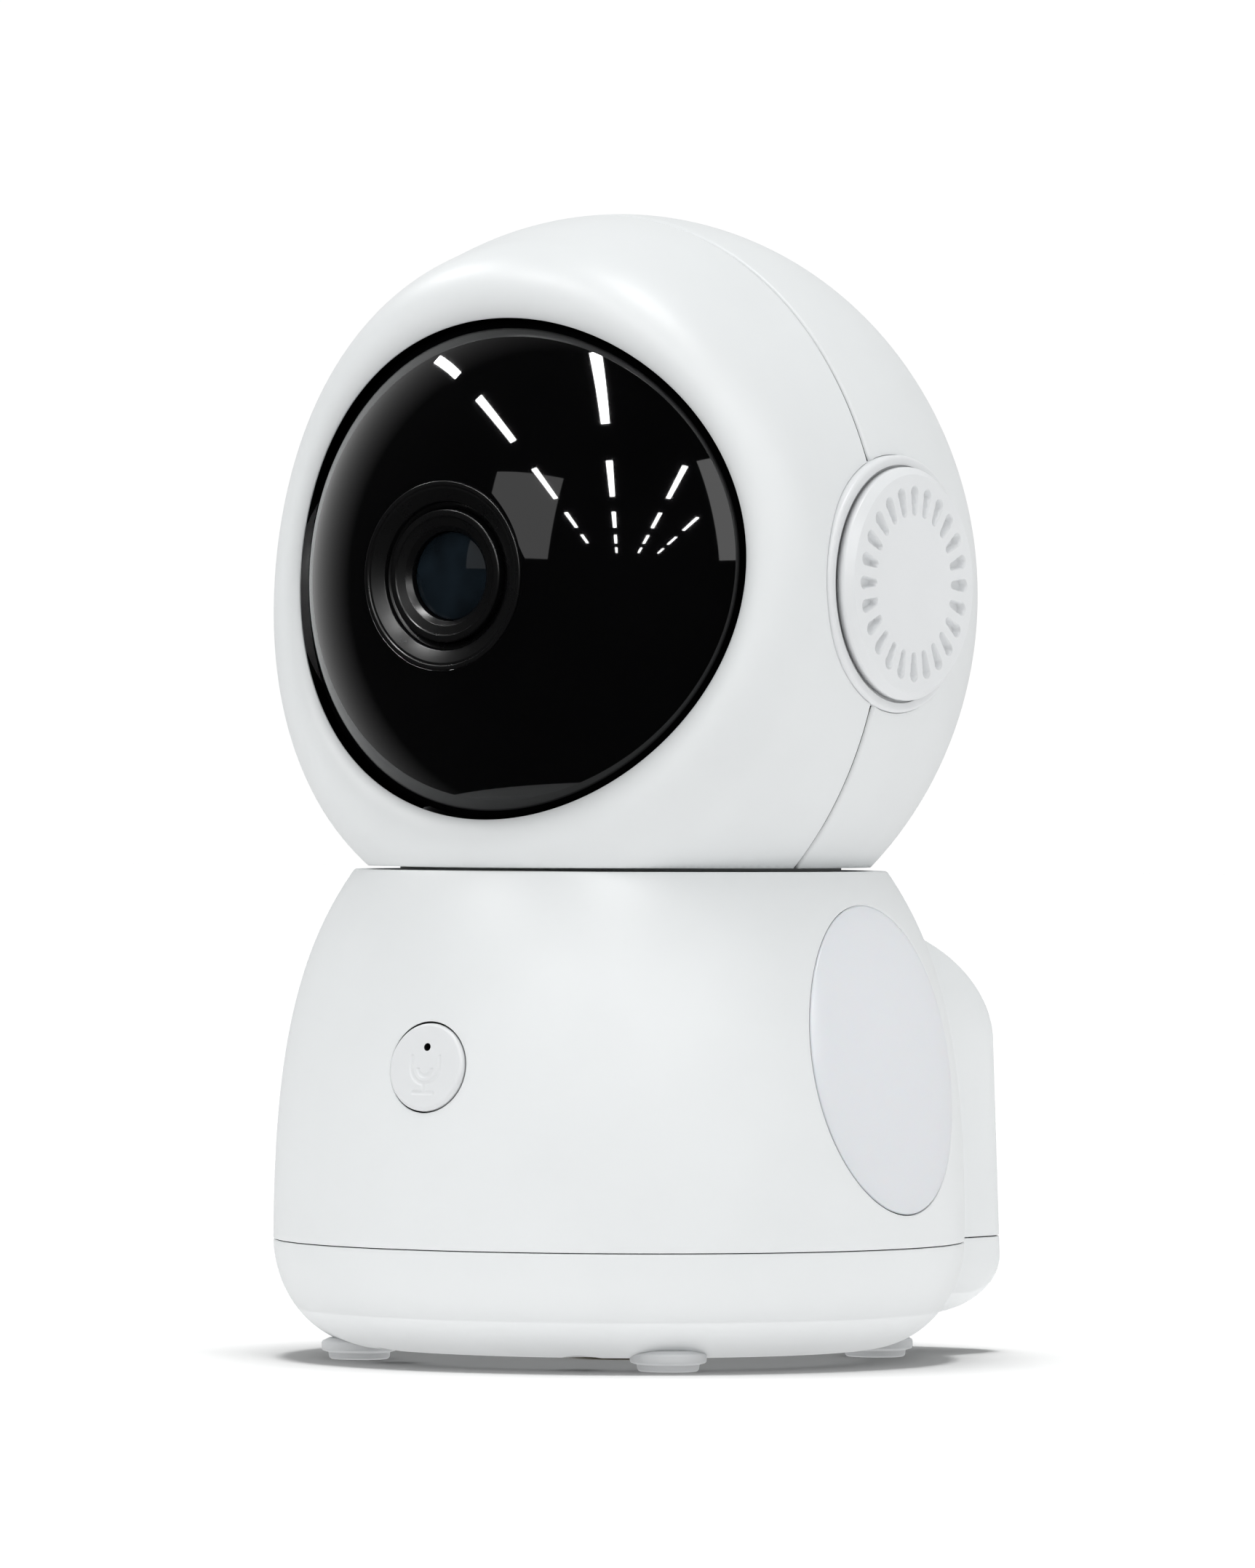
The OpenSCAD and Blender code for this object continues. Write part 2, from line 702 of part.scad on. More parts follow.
// ---------- what is drawn ----------

base_shell();
base_bottom();
tripod_insert();
ballast_plate();
base_screws();
foot(-1, -1);  // foot_front_left
foot(1, -1);  // foot_front_right
foot(-1, 1);  // foot_rear_left
foot(1, 1);  // foot_rear_right
side_cover(-1);  // side_cover_left
side_cover(1);  // side_cover_right
lamp_board(-1);  // lamp_board_left
lamp_board(1);  // lamp_board_right
call_button();
button_board();
button_switch();
microphone();
main_board();
power_socket();
card_socket();
reset_button();
reset_switch();
bearing_plate();
pan_bush();
pan_motor();
pan_pinion();
head_front_shell();
head_rear_shell();
head_frame();
frame_screws();
pan_gear();
pan_clip();
ear_flange(-1);  // ear_flange_left
ear_flange(1);  // ear_flange_right
ear_cap(-1);  // ear_cap_left
ear_cap(1);  // ear_cap_right
speaker(-1);  // speaker_left
speaker(1);  // speaker_right
tilt_bracket();
tilt_motor();
tilt_pinion();
head_board();
antenna();
ball_front();
ball_back();
tilt_hub(-1);  // tilt_hub_left
tilt_hub(1);  // tilt_hub_right
tilt_gear();
lens_ring();
lens_barrel();
front_glass();
inner_lens();
lens_holder();
sensor_board();
infrared_board();
infrared_lamps();
ball_screws();
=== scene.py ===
import json
import math

import bmesh
import bpy
import numpy as np
from mathutils import Matrix, Vector

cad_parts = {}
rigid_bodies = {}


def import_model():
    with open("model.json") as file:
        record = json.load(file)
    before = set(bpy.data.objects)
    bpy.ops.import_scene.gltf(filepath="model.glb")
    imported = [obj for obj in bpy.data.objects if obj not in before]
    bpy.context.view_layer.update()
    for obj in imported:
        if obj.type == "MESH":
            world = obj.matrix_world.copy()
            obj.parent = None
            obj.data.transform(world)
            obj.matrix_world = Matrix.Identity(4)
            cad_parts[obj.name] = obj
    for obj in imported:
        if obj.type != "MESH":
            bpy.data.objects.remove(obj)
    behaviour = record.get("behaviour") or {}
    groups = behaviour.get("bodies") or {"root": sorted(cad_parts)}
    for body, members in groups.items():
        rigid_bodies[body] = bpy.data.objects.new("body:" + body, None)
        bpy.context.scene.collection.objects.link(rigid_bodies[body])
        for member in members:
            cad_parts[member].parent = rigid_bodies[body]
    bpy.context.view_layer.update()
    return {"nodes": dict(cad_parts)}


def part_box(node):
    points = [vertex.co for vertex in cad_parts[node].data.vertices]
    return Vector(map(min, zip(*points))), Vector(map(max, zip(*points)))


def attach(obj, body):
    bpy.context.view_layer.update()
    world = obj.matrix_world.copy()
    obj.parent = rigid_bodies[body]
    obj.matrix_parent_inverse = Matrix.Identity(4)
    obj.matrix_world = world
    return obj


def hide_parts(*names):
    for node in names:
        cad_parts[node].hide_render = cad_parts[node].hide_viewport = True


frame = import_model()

# Looks of an indoor pan-and-tilt security camera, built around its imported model.
# The meshes are worked out in millimetres, in the frame's own axes: +Z up, front towards -Y.

MM = 0.001


def corners(node):
    """Lowest and highest corner of a CAD node, in millimetres."""
    low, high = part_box(node)
    return np.array(low) / MM, np.array(high) / MM


# ---------- driving dimensions ----------

COLUMNS = 480

BASE_R = corners("base_shell")[1][0]
BASE_TOP_Z = corners("base_shell")[1][2]
BASE_TOP_R = 28.95
SEAM_Z = corners("base_bottom")[1][2]
BELLY_Z = 1.3
BELLY_ROUND = (10.6, 11.9)
BASE_WALL = 2.0
# The base's seam: its middle, and how far each half stays back from it before its edge is rounded
SEAM_MID_Z = SEAM_Z + 0.05
SEAM_PART = 0.17
# Recesses for the screws in the underside
SCREW_MIDS = [(12.0, -24.5), (-12.0, -24.5), (20.5, 36.0), (-20.5, 36.0)]
SCREW_HOLE_R = 2.25
SCREW_REACH_Z = 10.0
DRUM_HOLE_R = 24.6
HUMP_W = 26.3
HUMP_Y = corners("base_bottom")[1][1]
HUMP_CORNER = 8.0
HUMP_LOW_Z = 4.2
HUMP_FOOT_R = 6.5
HUMP_DRAFT = 0.6
HUMP_SHOULDER_Z = 34.0
HUMP_SHOULDER_R = 14.5
HUMP_BLEND = 1.6

HEAD_MID = np.array([0.0, 0.0, 83.0])
HEAD_AXES = np.array([37.5, 41.45, 41.45])
HEAD_WALL = 1.7
HEAD_SEAM_Y = -4.7
HEAD_SEAM_HALF = 0.5
NECK_Z = corners("head_rear_shell")[0][2]

TILT_MID = np.array([0.0, 0.0, 84.0])
BALL_AXES = np.array([33.4, 35.6, 35.6])
BALL_FLAT_X = corners("ball_front")[1][0]
BALL_WALL = 1.6
LENS_Z = sum(corner[2] for corner in corners("front_glass")) / 2

# The rim where the face opening's lip turns in lies on a form just outside the ball
RIM_AXES = np.array([34.6, 36.5, 36.5])
RIM_MID_Z = 85.45
RIM_HALF = (29.2, 26.95)
LIP_WIDTH = 5.5
COLLAR_RISE = 0.4
COLLAR_AT = 7.5
COLLAR_SPREAD = 3.0
COLLAR_FADE = 6

EAR_R = corners("ear_flange_right")[1][1]
EAR_CAP_X = corners("ear_cap_right")[0][0]
EAR_CAP_R = corners("ear_cap_right")[1][1]
EAR_OUT_X = corners("ear_cap_right")[1][0]
EAR_SLOTS = 24
EAR_GAP = 0.12
CAP_GAP = 0.22
SLOT_DEPTH = 0.9

BUTTON_R = 4.75
BUTTON_MID = np.array([0.0, -36.45, 32.3])
BUTTON_LEAN = math.radians(10)
BUTTON_GAP = 0.28
MIC_HOLE = (0.0, 2.1, 0.48)

COVER_MID_Z = 33.0
COVER_HALF = (13.3, 16.5)
COVER_GAP = 0.15
COVER_RISE = 0.8

FOOT_AT = 20.2
FOOT_R = 4.1


# ---------- mesh helpers ----------

class Skin:
    """A surface in millimetres: its points, its faces, and each face's material index."""

    def __init__(self, points, faces, kinds=None):
        self.points = np.asarray(points, float)
        self.faces = [tuple(face) for face in faces]
        self.kinds = list(kinds) if kinds is not None else [0] * len(self.faces)

    def placed(self, matrix):
        matrix = np.array(matrix)
        points = self.points @ matrix[:3, :3].T + matrix[:3, 3]
        return Skin(points, self.faces, self.kinds)


def grid(rows, closed=True):
    """The surface through rows of points; a closed one joins its last column to its first."""
    rows = np.asarray(rows, float)
    index = np.arange(rows.shape[0] * rows.shape[1]).reshape(rows.shape[:2])
    here = index if closed else index[:, :-1]
    beside = np.roll(index, -1, axis=1) if closed else index[:, 1:]
    quads = np.stack([here[:-1], beside[:-1], beside[1:], here[1:]], -1)
    return Skin(rows.reshape(-1, 3), quads.reshape(-1, 4).tolist())


def welded(skin):
    """The surface with the points that share a place made one, as at a pole."""
    _, first, place = np.unique(np.round(skin.points, 5), axis=0, return_index=True, return_inverse=True)
    place = place.ravel().tolist()
    faces, kinds = [], []
    for face, kind in zip(skin.faces, skin.kinds):
        turn = [place[i] for i in face]
        kept = [here for here, before in zip(turn, turn[-1:] + turn[:-1]) if here != before]
        if len(kept) > 2:
            faces.append(tuple(kept))
            kinds.append(kind)
    return Skin(skin.points[first], faces, kinds)


def trimmed(skin, field, snap=0.3):
    """What is left of a surface where field(points) is positive, cut cleanly along its zero line."""
    points = skin.points.copy()
    values = field(points)
    level = values.tolist()
    nearest = {}
    for face in skin.faces:
        marks = [level[i] for i in face]
        if min(marks) >= 0 or max(marks) <= 0:
            continue
        for a, b in zip(face, face[1:] + face[:1]):
            if level[a] * level[b] >= 0:
                continue
            share = level[a] / (level[a] - level[b])
            for end, other, part in ((a, b, share), (b, a, 1 - share)):
                if part < snap and part < nearest.get(end, (1, 0))[0]:
                    nearest[end] = (part, other)
    moves = {end: points[end] + part * (points[other] - points[end])
             for end, (part, other) in nearest.items()}
    for end, place in moves.items():
        points[end] = place
        level[end] = 0.0
    extra, made, faces, kinds = [], {}, [], []

    def crossing(a, b):
        key = (min(a, b), max(a, b))
        if key not in made:
            share = level[a] / (level[a] - level[b])
            made[key] = len(points) + len(extra)
            extra.append(points[a] + share * (points[b] - points[a]))
        return made[key]

    for face, kind in zip(skin.faces, skin.kinds):
        marks = [level[i] for i in face]
        if max(marks) <= 0:
            continue
        if min(marks) < 0:
            kept = []
            for a, b in zip(face, face[1:] + face[:1]):
                if level[a] >= 0:
                    kept.append(a)
                if level[a] * level[b] < 0:
                    kept.append(crossing(a, b))
            face = tuple(kept)
        if len(face) > 2:
            faces.append(face)
            kinds.append(kind)
    everything = np.vstack([points, extra]) if extra else points
    used = sorted({i for face in faces for i in face})
    place = {old: new for new, old in enumerate(used)}
    return Skin(everything[used], [tuple(place[i] for i in face) for face in faces], kinds)


def normals_of(skin):
    """Unit normal at each point, from the faces round it."""
    total = np.zeros_like(skin.points)
    for size in {len(face) for face in skin.faces}:
        chosen = np.array([face for face in skin.faces if len(face) == size])
        loop = skin.points[chosen]
        area = np.zeros((len(chosen), 3))
        for k in range(1, size - 1):
            area += np.cross(loop[:, k] - loop[:, 0], loop[:, k + 1] - loop[:, 0])
        for k in range(size):
            np.add.at(total, chosen[:, k], area)
    return total / np.maximum(np.linalg.norm(total, axis=1, keepdims=True), 1e-12)


def border_loops(skin):
    """The open edges of a surface as closed loops of point numbers."""
    edges = set()
    for face in skin.faces:
        edges.update(zip(face, face[1:] + face[:1]))
    follows = {a: b for a, b in edges if (b, a) not in edges}
    loops = []
    while follows:
        start = next(iter(follows))
        loop, here = [start], follows.pop(start)
        while here != start:
            loop.append(here)
            here = follows.pop(here)
        loops.append(loop)
    return loops


def thickened(skin, wall, rims, centre, inside_kind=0):
    """A closed shell: the surface, a copy moved in by wall, and a moulded edge round each opening.

    rims is a list of (field, steps): the edge where field is nearly zero follows the steps, each
    (how far past the edge, how far down, material index)."""
    outward = skin
    facing = normals_of(skin)
    if np.sum(facing * (skin.points - centre)) < 0:
        outward = Skin(skin.points, [face[::-1] for face in skin.faces], skin.kinds)
        facing = -facing
    count = len(skin.points)
    points = [outward.points, outward.points - wall * facing]
    faces = outward.faces + [tuple(i + count for i in face[::-1]) for face in outward.faces]
    kinds = outward.kinds + [inside_kind] * len(outward.faces)
    total = 2 * count
    for loop in border_loops(outward):
        edge = outward.points[loop]
        up = facing[loop]
        along = np.roll(edge, -1, axis=0) - np.roll(edge, 1, axis=0)
        across = np.cross(along, up)
        for _ in range(2):
            across /= np.maximum(np.linalg.norm(across, axis=1, keepdims=True), 1e-12)
            across = across + np.roll(across, 1, axis=0) + np.roll(across, -1, axis=0)
        across /= np.maximum(np.linalg.norm(across, axis=1, keepdims=True), 1e-12)
        choice = np.argmin([np.abs(field(edge)) for field, _ in rims], axis=0)
        steps = max(len(profile) for _, profile in rims)
        previous = list(loop)
        for k in range(steps):
            step = np.array([profile[min(k, len(profile) - 1)] for _, profile in rims])[choice]
            if all(k >= len(rims[c][1]) for c in set(choice.tolist())):
                break
            points.append(edge + step[:, :1] * across - step[:, 1:2] * up)
            ring = list(range(total, total + len(loop)))
            total += len(loop)
            for i in range(len(loop)):
                j = (i + 1) % len(loop)
                faces.append((previous[j], previous[i], ring[i], ring[j]))
                kinds.append(int(step[i, 2]))
            previous = ring
        inner = [i + count for i in loop]
        for i in range(len(loop)):
            j = (i + 1) % len(loop)
            faces.append((previous[j], previous[i], inner[i], inner[j]))
            kinds.append(inside_kind)
    return Skin(np.vstack(points), faces, kinds)


def rounded(corners_list, steps=6):
    """A profile through corners given as (x, y, fillet radius), with each corner made an arc."""
    spots = [np.array(c[:2], float) for c in corners_list]
    line = [spots[0]]
    for k in range(1, len(spots) - 1):
        radius = corners_list[k][2]
        back = spots[k - 1] - spots[k]
        ahead = spots[k + 1] - spots[k]
        back_length, ahead_length = np.linalg.norm(back), np.linalg.norm(ahead)
        back, ahead = back / back_length, ahead / ahead_length
        half = math.acos(max(-1.0, min(1.0, float(back @ ahead)))) / 2
        if radius <= 0 or half > math.pi / 2 - 1e-3:
            line.append(spots[k])
            continue
        reach = min(radius / math.tan(half), 0.48 * back_length, 0.48 * ahead_length)
        radius = reach * math.tan(half)
        middle = back + ahead
        centre = spots[k] + middle / np.linalg.norm(middle) * radius / math.sin(half)
        first = spots[k] + back * reach - centre
        last = spots[k] + ahead * reach - centre
        for i in range(steps + 1):
            turn = first * (1 - i / steps) + last * (i / steps)
            line.append(centre + turn / np.linalg.norm(turn) * radius)
    line.append(spots[-1])
    return np.array(line)


def turned(profile, columns=192):
    """A body turned about Z from a profile of (radius, height)."""
    angles = np.linspace(0, 2 * math.pi, columns, endpoint=False)
    profile = np.asarray(profile, float)
    rows = np.empty((len(profile), columns, 3))
    rows[..., 0] = profile[:, :1] * np.cos(angles)
    rows[..., 1] = profile[:, :1] * np.sin(angles)
    rows[..., 2] = profile[:, 1:2]
    return grid(rows)


def piece(name, skin, materials, body, stands_for=()):
    """Makes the object for a surface, gives it its body and its finish, and hides the CAD nodes it stands
    for.
    """
    mesh = bpy.data.meshes.new(name)
    mesh.from_pydata((skin.points * MM).tolist(), [], skin.faces)
    mesh.polygons.foreach_set("material_index", skin.kinds)
    for material in materials:
        mesh.materials.append(material)
    work = bmesh.new()
    work.from_mesh(mesh)
    bmesh.ops.remove_doubles(work, verts=work.verts, dist=1e-4 * MM)
    bmesh.ops.dissolve_degenerate(work, edges=work.edges, dist=1e-5 * MM)
    bmesh.ops.recalc_face_normals(work, faces=work.faces)
    work.to_mesh(mesh)
    work.free()
    mesh.shade_smooth()
    made = bpy.data.objects.new(name, mesh)
    bpy.context.scene.collection.objects.link(made)
    even = made.modifiers.new("even_normals", "WEIGHTED_NORMAL")
    even.keep_sharp = True
    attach(made, body)
    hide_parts(*stands_for)
    return made


# ---------- materials ----------

def shader(name, colour, roughness, **settings):
    """A new node material, and its node tree and Principled shader."""
    material = bpy.data.materials.new(name)
    material.use_nodes = True
    tree = material.node_tree
    principled = tree.nodes["Principled BSDF"]
    principled.inputs["Base Color"].default_value = (*colour, 1)
    principled.inputs["Roughness"].default_value = roughness
    for key, value in settings.items():
        principled.inputs[key.replace("_", " ")].default_value = value
    return material, tree, principled


def noise(tree, scale, detail=3.0, rough=0.5):
    """A noise texture in the object's own coordinates, scale in waves per metre."""
    where = tree.nodes.new("ShaderNodeTexCoord")
    texture = tree.nodes.new("ShaderNodeTexNoise")
    texture.inputs["Scale"].default_value = scale
    texture.inputs["Detail"].default_value = detail
    texture.inputs["Roughness"].default_value = rough
    tree.links.new(where.outputs["Object"], texture.inputs["Vector"])
    return texture.outputs["Fac"]


def between(tree, value, low, high):
    """Maps a 0 to 1 value onto low to high."""
    scaled = tree.nodes.new("ShaderNodeMapRange")
    scaled.inputs["To Min"].default_value = low
    scaled.inputs["To Max"].default_value = high
    tree.links.new(value, scaled.inputs["Value"])
    return scaled.outputs["Result"]


def tinted(tree, value, low, high):
    """Mixes two colours by a 0 to 1 value."""
    ramp = tree.nodes.new("ShaderNodeValToRGB")
    ramp.color_ramp.elements[0].color = (*low, 1)
    ramp.color_ramp.elements[1].color = (*high, 1)
    ramp.color_ramp.elements[0].position = 0.3
    ramp.color_ramp.elements[1].position = 0.7
    tree.links.new(value, ramp.inputs["Fac"])
    return ramp.outputs["Color"]


def bumped(tree, principled, value, strength, depth):
    """Raises the surface by a value times depth in metres."""
    bump = tree.nodes.new("ShaderNodeBump")
    bump.inputs["Strength"].default_value = strength
    bump.inputs["Distance"].default_value = depth
    tree.links.new(value, bump.inputs["Height"])
    tree.links.new(bump.outputs["Normal"], principled.inputs["Normal"])


def moulded(name, colour, roughness, grain=9000, depth=4e-6, spread=0.012, rough_spread=0.03,
            **settings):
    """Moulded plastic: fine spark texture, slow colour drift and uneven gloss."""
    material, tree, principled = shader(name, colour, roughness, **settings)
    low = tuple(max(0.0, c - spread) for c in colour)
    high = tuple(min(1.0, c + spread) for c in colour)
    drift = noise(tree, 60, 2.0)
    tree.links.new(tinted(tree, drift, low, high), principled.inputs["Base Color"])
    gloss = between(tree, noise(tree, 700, 4.0), roughness - rough_spread, roughness + rough_spread)
    tree.links.new(gloss, principled.inputs["Roughness"])
    bumped(tree, principled, noise(tree, grain, 2.0), 0.25, depth)
    return material


def brushed(name, colour, roughness):
    """Rolled or plated metal with fine scratches along X."""
    material, tree, principled = shader(name, colour, roughness, Metallic=1.0)
    where = tree.nodes.new("ShaderNodeTexCoord")
    squeeze = tree.nodes.new("ShaderNodeMapping")
    squeeze.inputs["Scale"].default_value = (0.05, 1, 1)
    streaks = tree.nodes.new("ShaderNodeTexNoise")
    streaks.inputs["Scale"].default_value = 6000
    tree.links.new(where.outputs["Object"], squeeze.inputs["Vector"])
    tree.links.new(squeeze.outputs["Vector"], streaks.inputs["Vector"])
    fine = streaks.outputs["Fac"]
    dark = tuple(0.8 * c for c in colour)
    tree.links.new(tinted(tree, fine, dark, colour), principled.inputs["Base Color"])
    tree.links.new(between(tree, fine, roughness, roughness + 0.2), principled.inputs["Roughness"])
    bumped(tree, principled, fine, 0.2, 5e-6)
    return material


def board(name):
    """Solder mask with copper tracks under it."""
    material, tree, principled = shader(name, (0.02, 0.16, 0.08), 0.35)
    where = tree.nodes.new("ShaderNodeTexCoord")
    tracks = tree.nodes.new("ShaderNodeTexBrick")
    tracks.inputs["Scale"].default_value = 500
    tracks.inputs["Color1"].default_value = (0.015, 0.13, 0.06, 1)
    tracks.inputs["Color2"].default_value = (0.02, 0.17, 0.08, 1)
    tracks.inputs["Mortar"].default_value = (0.05, 0.28, 0.12, 1)
    tree.links.new(where.outputs["Object"], tracks.inputs["Vector"])
    tree.links.new(tracks.outputs["Color"], principled.inputs["Base Color"])
    bumped(tree, principled, tracks.outputs["Fac"], 0.4, 3e-5)
    return material


def glass(name):
    """Coated lens glass: near black, with a faint blue bloom that drifts over it."""
    material, tree, principled = shader(name, (0.004, 0.006, 0.012), 0.06, IOR=1.2, Coat_Weight=0.1)
    bloom = tinted(tree, noise(tree, 250, 1.0), (0.004, 0.006, 0.008), (0.008, 0.013, 0.018))
    tree.links.new(bloom, principled.inputs["Base Color"])
    return material


WHITE = (0.83, 0.845, 0.85)
LOOKS = {
    "white_shell": moulded("satin_white_shell", WHITE, 0.42),
    "white_trim": moulded("satin_white_trim", (0.83, 0.84, 0.85), 0.38),
    "milk_cover": moulded("milky_lamp_cover", (0.83, 0.84, 0.87), 0.3, depth=1e-6,
                          spread=0.004, rough_spread=0.01,
                          Subsurface_Weight=0.1, Subsurface_Scale=0.002),
    "black_gloss": moulded("gloss_black_ball", (0.0011, 0.0011, 0.0013), 0.03, grain=60,
                           depth=1e-6, spread=0.0003, rough_spread=0.01),
    "black_matte": moulded("satin_black_plastic", (0.003, 0.003, 0.0033), 0.28, spread=0.001),
    "lens_glass": glass("coated_lens_glass"),
    "circuit_board": board("green_circuit_board"),
    "inner_plastic": moulded("grey_inner_plastic", (0.5, 0.51, 0.52), 0.5, spread=0.03),
    "gear_plastic": moulded("ivory_gear_plastic", (0.78, 0.74, 0.64), 0.4, spread=0.03),
    "motor_steel": brushed("motor_can_steel", (0.6, 0.61, 0.62), 0.25),
    "screw_steel": brushed("plated_screw_steel", (0.55, 0.56, 0.58), 0.2),
    "ballast_iron": brushed("painted_ballast_iron", (0.2, 0.2, 0.21), 0.5),
    "brass": brushed("brass_contact", (0.75, 0.55, 0.22), 0.2),
    "foot_pad": moulded("white_rubber_foot", (0.8, 0.81, 0.82), 0.6, spread=0.02),
}
# Painted shade: a near-black material for the insides of the white shells and the walls of their gaps,
# grooves and holes, which lie in shadow. Shells use it as material index 1.
PAINTED_SHADE = moulded("painted_shade_in_cavities", (0.003, 0.003, 0.003), 0.6, spread=0.001)
SHELL_PAIR = [LOOKS["white_shell"], PAINTED_SHADE]


def dress_cad_nodes():
    """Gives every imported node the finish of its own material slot."""
    for node in frame["nodes"].values():
        for place in node.material_slots:
            plain = place.material.name.split(".")[0]
            place.material = LOOKS[plain]


# ---------- base ----------

def base_radius(z):
    """Radius of the base's round body at height z."""
    flat = BASE_R - BELLY_ROUND[0]
    low_mid = BELLY_Z + BELLY_ROUND[1]
    t = np.linspace(0, 1, 400)
    weights = np.stack([(1 - t) ** 3, 3 * t * (1 - t) ** 2, 3 * t ** 2 * (1 - t), t ** 3])
    ends = np.array([[BASE_R, low_mid], [BASE_R, 33], [BASE_R - 2.35, 44.1], [BASE_TOP_R, BASE_TOP_Z]])
    curve = weights.T @ ends
    z = np.asarray(z, float)
    turn = np.sqrt(np.clip(1 - ((low_mid - z) / BELLY_ROUND[1]) ** 2, 0, 1))
    return np.where(z < low_mid, flat + BELLY_ROUND[0] * turn, np.interp(z, curve[:, 1], curve[:, 0]))


def hump_reach(reach, z):
    """How far the bulge reaches at height z: rounded foot, slight draft, rounded shoulder."""
    foot_mid = HUMP_LOW_Z + HUMP_FOOT_R
    foot = np.sqrt(np.clip(1 - (np.maximum(foot_mid - z, 0) / HUMP_FOOT_R) ** 2, 0, 1))
    side = reach - HUMP_DRAFT * np.clip((z - foot_mid) / (HUMP_SHOULDER_Z - foot_mid), 0, 1)
    over = np.clip((z - HUMP_SHOULDER_Z) / HUMP_SHOULDER_R, 0, 1)
    side = side - HUMP_SHOULDER_R * (1 - np.sqrt(1 - over ** 2))
    below = 4 * np.maximum(HUMP_LOW_Z - z, 0)
    above = 4 * np.maximum(z - HUMP_SHOULDER_Z - HUMP_SHOULDER_R, 0)
    return side - HUMP_FOOT_R * (1 - foot) - below - above


def hump_radius(angle, z):
    """Distance from the pan axis to the bulge's rounded rectangle, along a direction."""
    dx, dy = np.abs(np.cos(angle)), np.sin(angle)
    wide, deep = hump_reach(HUMP_W, z), hump_reach(HUMP_Y, z)
    ahead = np.maximum(dy, 1e-3)
    to_side, to_back = wide / np.maximum(dx, 1e-6), deep / ahead
    cx, cy = wide - HUMP_CORNER, deep - HUMP_CORNER
    middle = cx * dx + cy * ahead
    inside = np.clip(middle ** 2 - cx ** 2 - cy ** 2 + HUMP_CORNER ** 2, 0, None)
    to_corner = middle + np.sqrt(inside)
    best = np.where(to_side * ahead <= cy, to_side,
                    np.where(to_back * dx <= cx, to_back, to_corner))
    return np.where(dy > 0.02, best, 0)


def base_surface_radius(angle, z):
    """Radius of the whole base in a direction: round body and bulge, softly blended."""
    body, bulge = base_radius(z), hump_radius(angle, z)
    near = np.clip(HUMP_BLEND - np.abs(body - bulge), 0, None) / HUMP_BLEND
    return np.maximum(body, bulge) + near ** 2 * HUMP_BLEND / 4


def base_rows(heights, columns=COLUMNS):
    angles = np.linspace(0, 2 * math.pi, columns, endpoint=False)
    z = np.asarray(heights, float)[:, None]
    radius = base_surface_radius(angles[None, :], z)
    z = np.broadcast_to(z, radius.shape)
    return np.stack([radius * np.cos(angles), radius * np.sin(angles), z], -1)


def ring_rows(profile, columns=COLUMNS):
    angles = np.linspace(0, 2 * math.pi, columns, endpoint=False)
    return np.array([[(r * math.cos(a), r * math.sin(a), z) for a in angles] for r, z in profile])


def at_button(points):
    """Points in the button's own frame: x to the right, y up its face, z out of it."""
    moved = points - BUTTON_MID
    out = np.array([0, -math.cos(BUTTON_LEAN), math.sin(BUTTON_LEAN)])
    up = np.array([0, math.sin(BUTTON_LEAN), math.cos(BUTTON_LEAN)])
    return np.stack([moved[:, 0], moved @ up, moved @ out], -1)


def around_button(points):
    local = at_button(points)
    gap = np.hypot(local[:, 0], local[:, 1]) - BUTTON_R - BUTTON_GAP
    return np.where(points[:, 1] < 0, gap, BUTTON_R)


def around_cover(points, gap=COVER_GAP):
    half_y, half_z = COVER_HALF[0] + gap, COVER_HALF[1] + gap
    share = np.hypot(points[:, 1] / half_y, (points[:, 2] - COVER_MID_Z) / half_z)
    return (share - 1) * half_y


def around_slot(x, z, half_x, half_z, corner):
    """A rounded rectangular opening in the back of the base."""
    def field(points):
        dx = np.abs(points[:, 0] - x) - half_x + corner
        dz = np.abs(points[:, 2] - z) - half_z + corner
        apart = np.hypot(np.maximum(dx, 0), np.maximum(dz, 0))
        away = apart + np.minimum(np.maximum(dx, dz), 0) - corner
        return np.where(points[:, 1] > 0, away, 10.0)
    return field


def level_at(axis, place):
    return lambda points: points[:, axis] - place


def round_at(radius):
    return lambda points: np.hypot(points[:, 0], points[:, 1]) - radius


def around_screw(x, y):
    """Outside the recess of one screw in the underside."""
    def field(points):
        away = np.hypot(points[:, 0] - x, points[:, 1] - y) - SCREW_HOLE_R
        return np.where(points[:, 2] < SCREW_REACH_Z, away, SCREW_HOLE_R)
    return field


SOCKET_MID = [sum(ends) / 2 for ends in zip(*corners("power_socket"))]
CARD_MID = [sum(ends) / 2 for ends in zip(*corners("card_socket"))]
RESET_MID = [sum(ends) / 2 for ends in zip(*corners("reset_button"))]
SOCKET_FIELDS = [
    around_slot(SOCKET_MID[0], SOCKET_MID[2], 4.8, 1.9, 1.8),
    around_slot(CARD_MID[0], CARD_MID[2], 6.3, 0.9, 0.4),
    around_slot(RESET_MID[0], RESET_MID[2], 1.7, 1.7, 1.7),
]
# Moulded edges, each step (how far past the edge, how far down, material index); index 1 is the painted
# shade, used in the seam's deepest step
BASE_SEAM = [(0.05, 0.02, 0), (0.1, 0.09, 0), (0.12, 0.25, 0), (0.12, 0.9, 1)]
SCREW_EDGE = [(0.04, 0.02, 0), (0.1, 0.1, 0), (0.1, 5.0, 0)]
SHARP_EDGE = [(0.02, 0.01, 0), (0.05, 0.05, 0), (0.05, 0.9, 0)]
SOFT_EDGE = [(0.06, 0.01, 0), (0.12, 0.05, 0), (0.15, 0.13, 0), (0.15, 0.9, 0)]


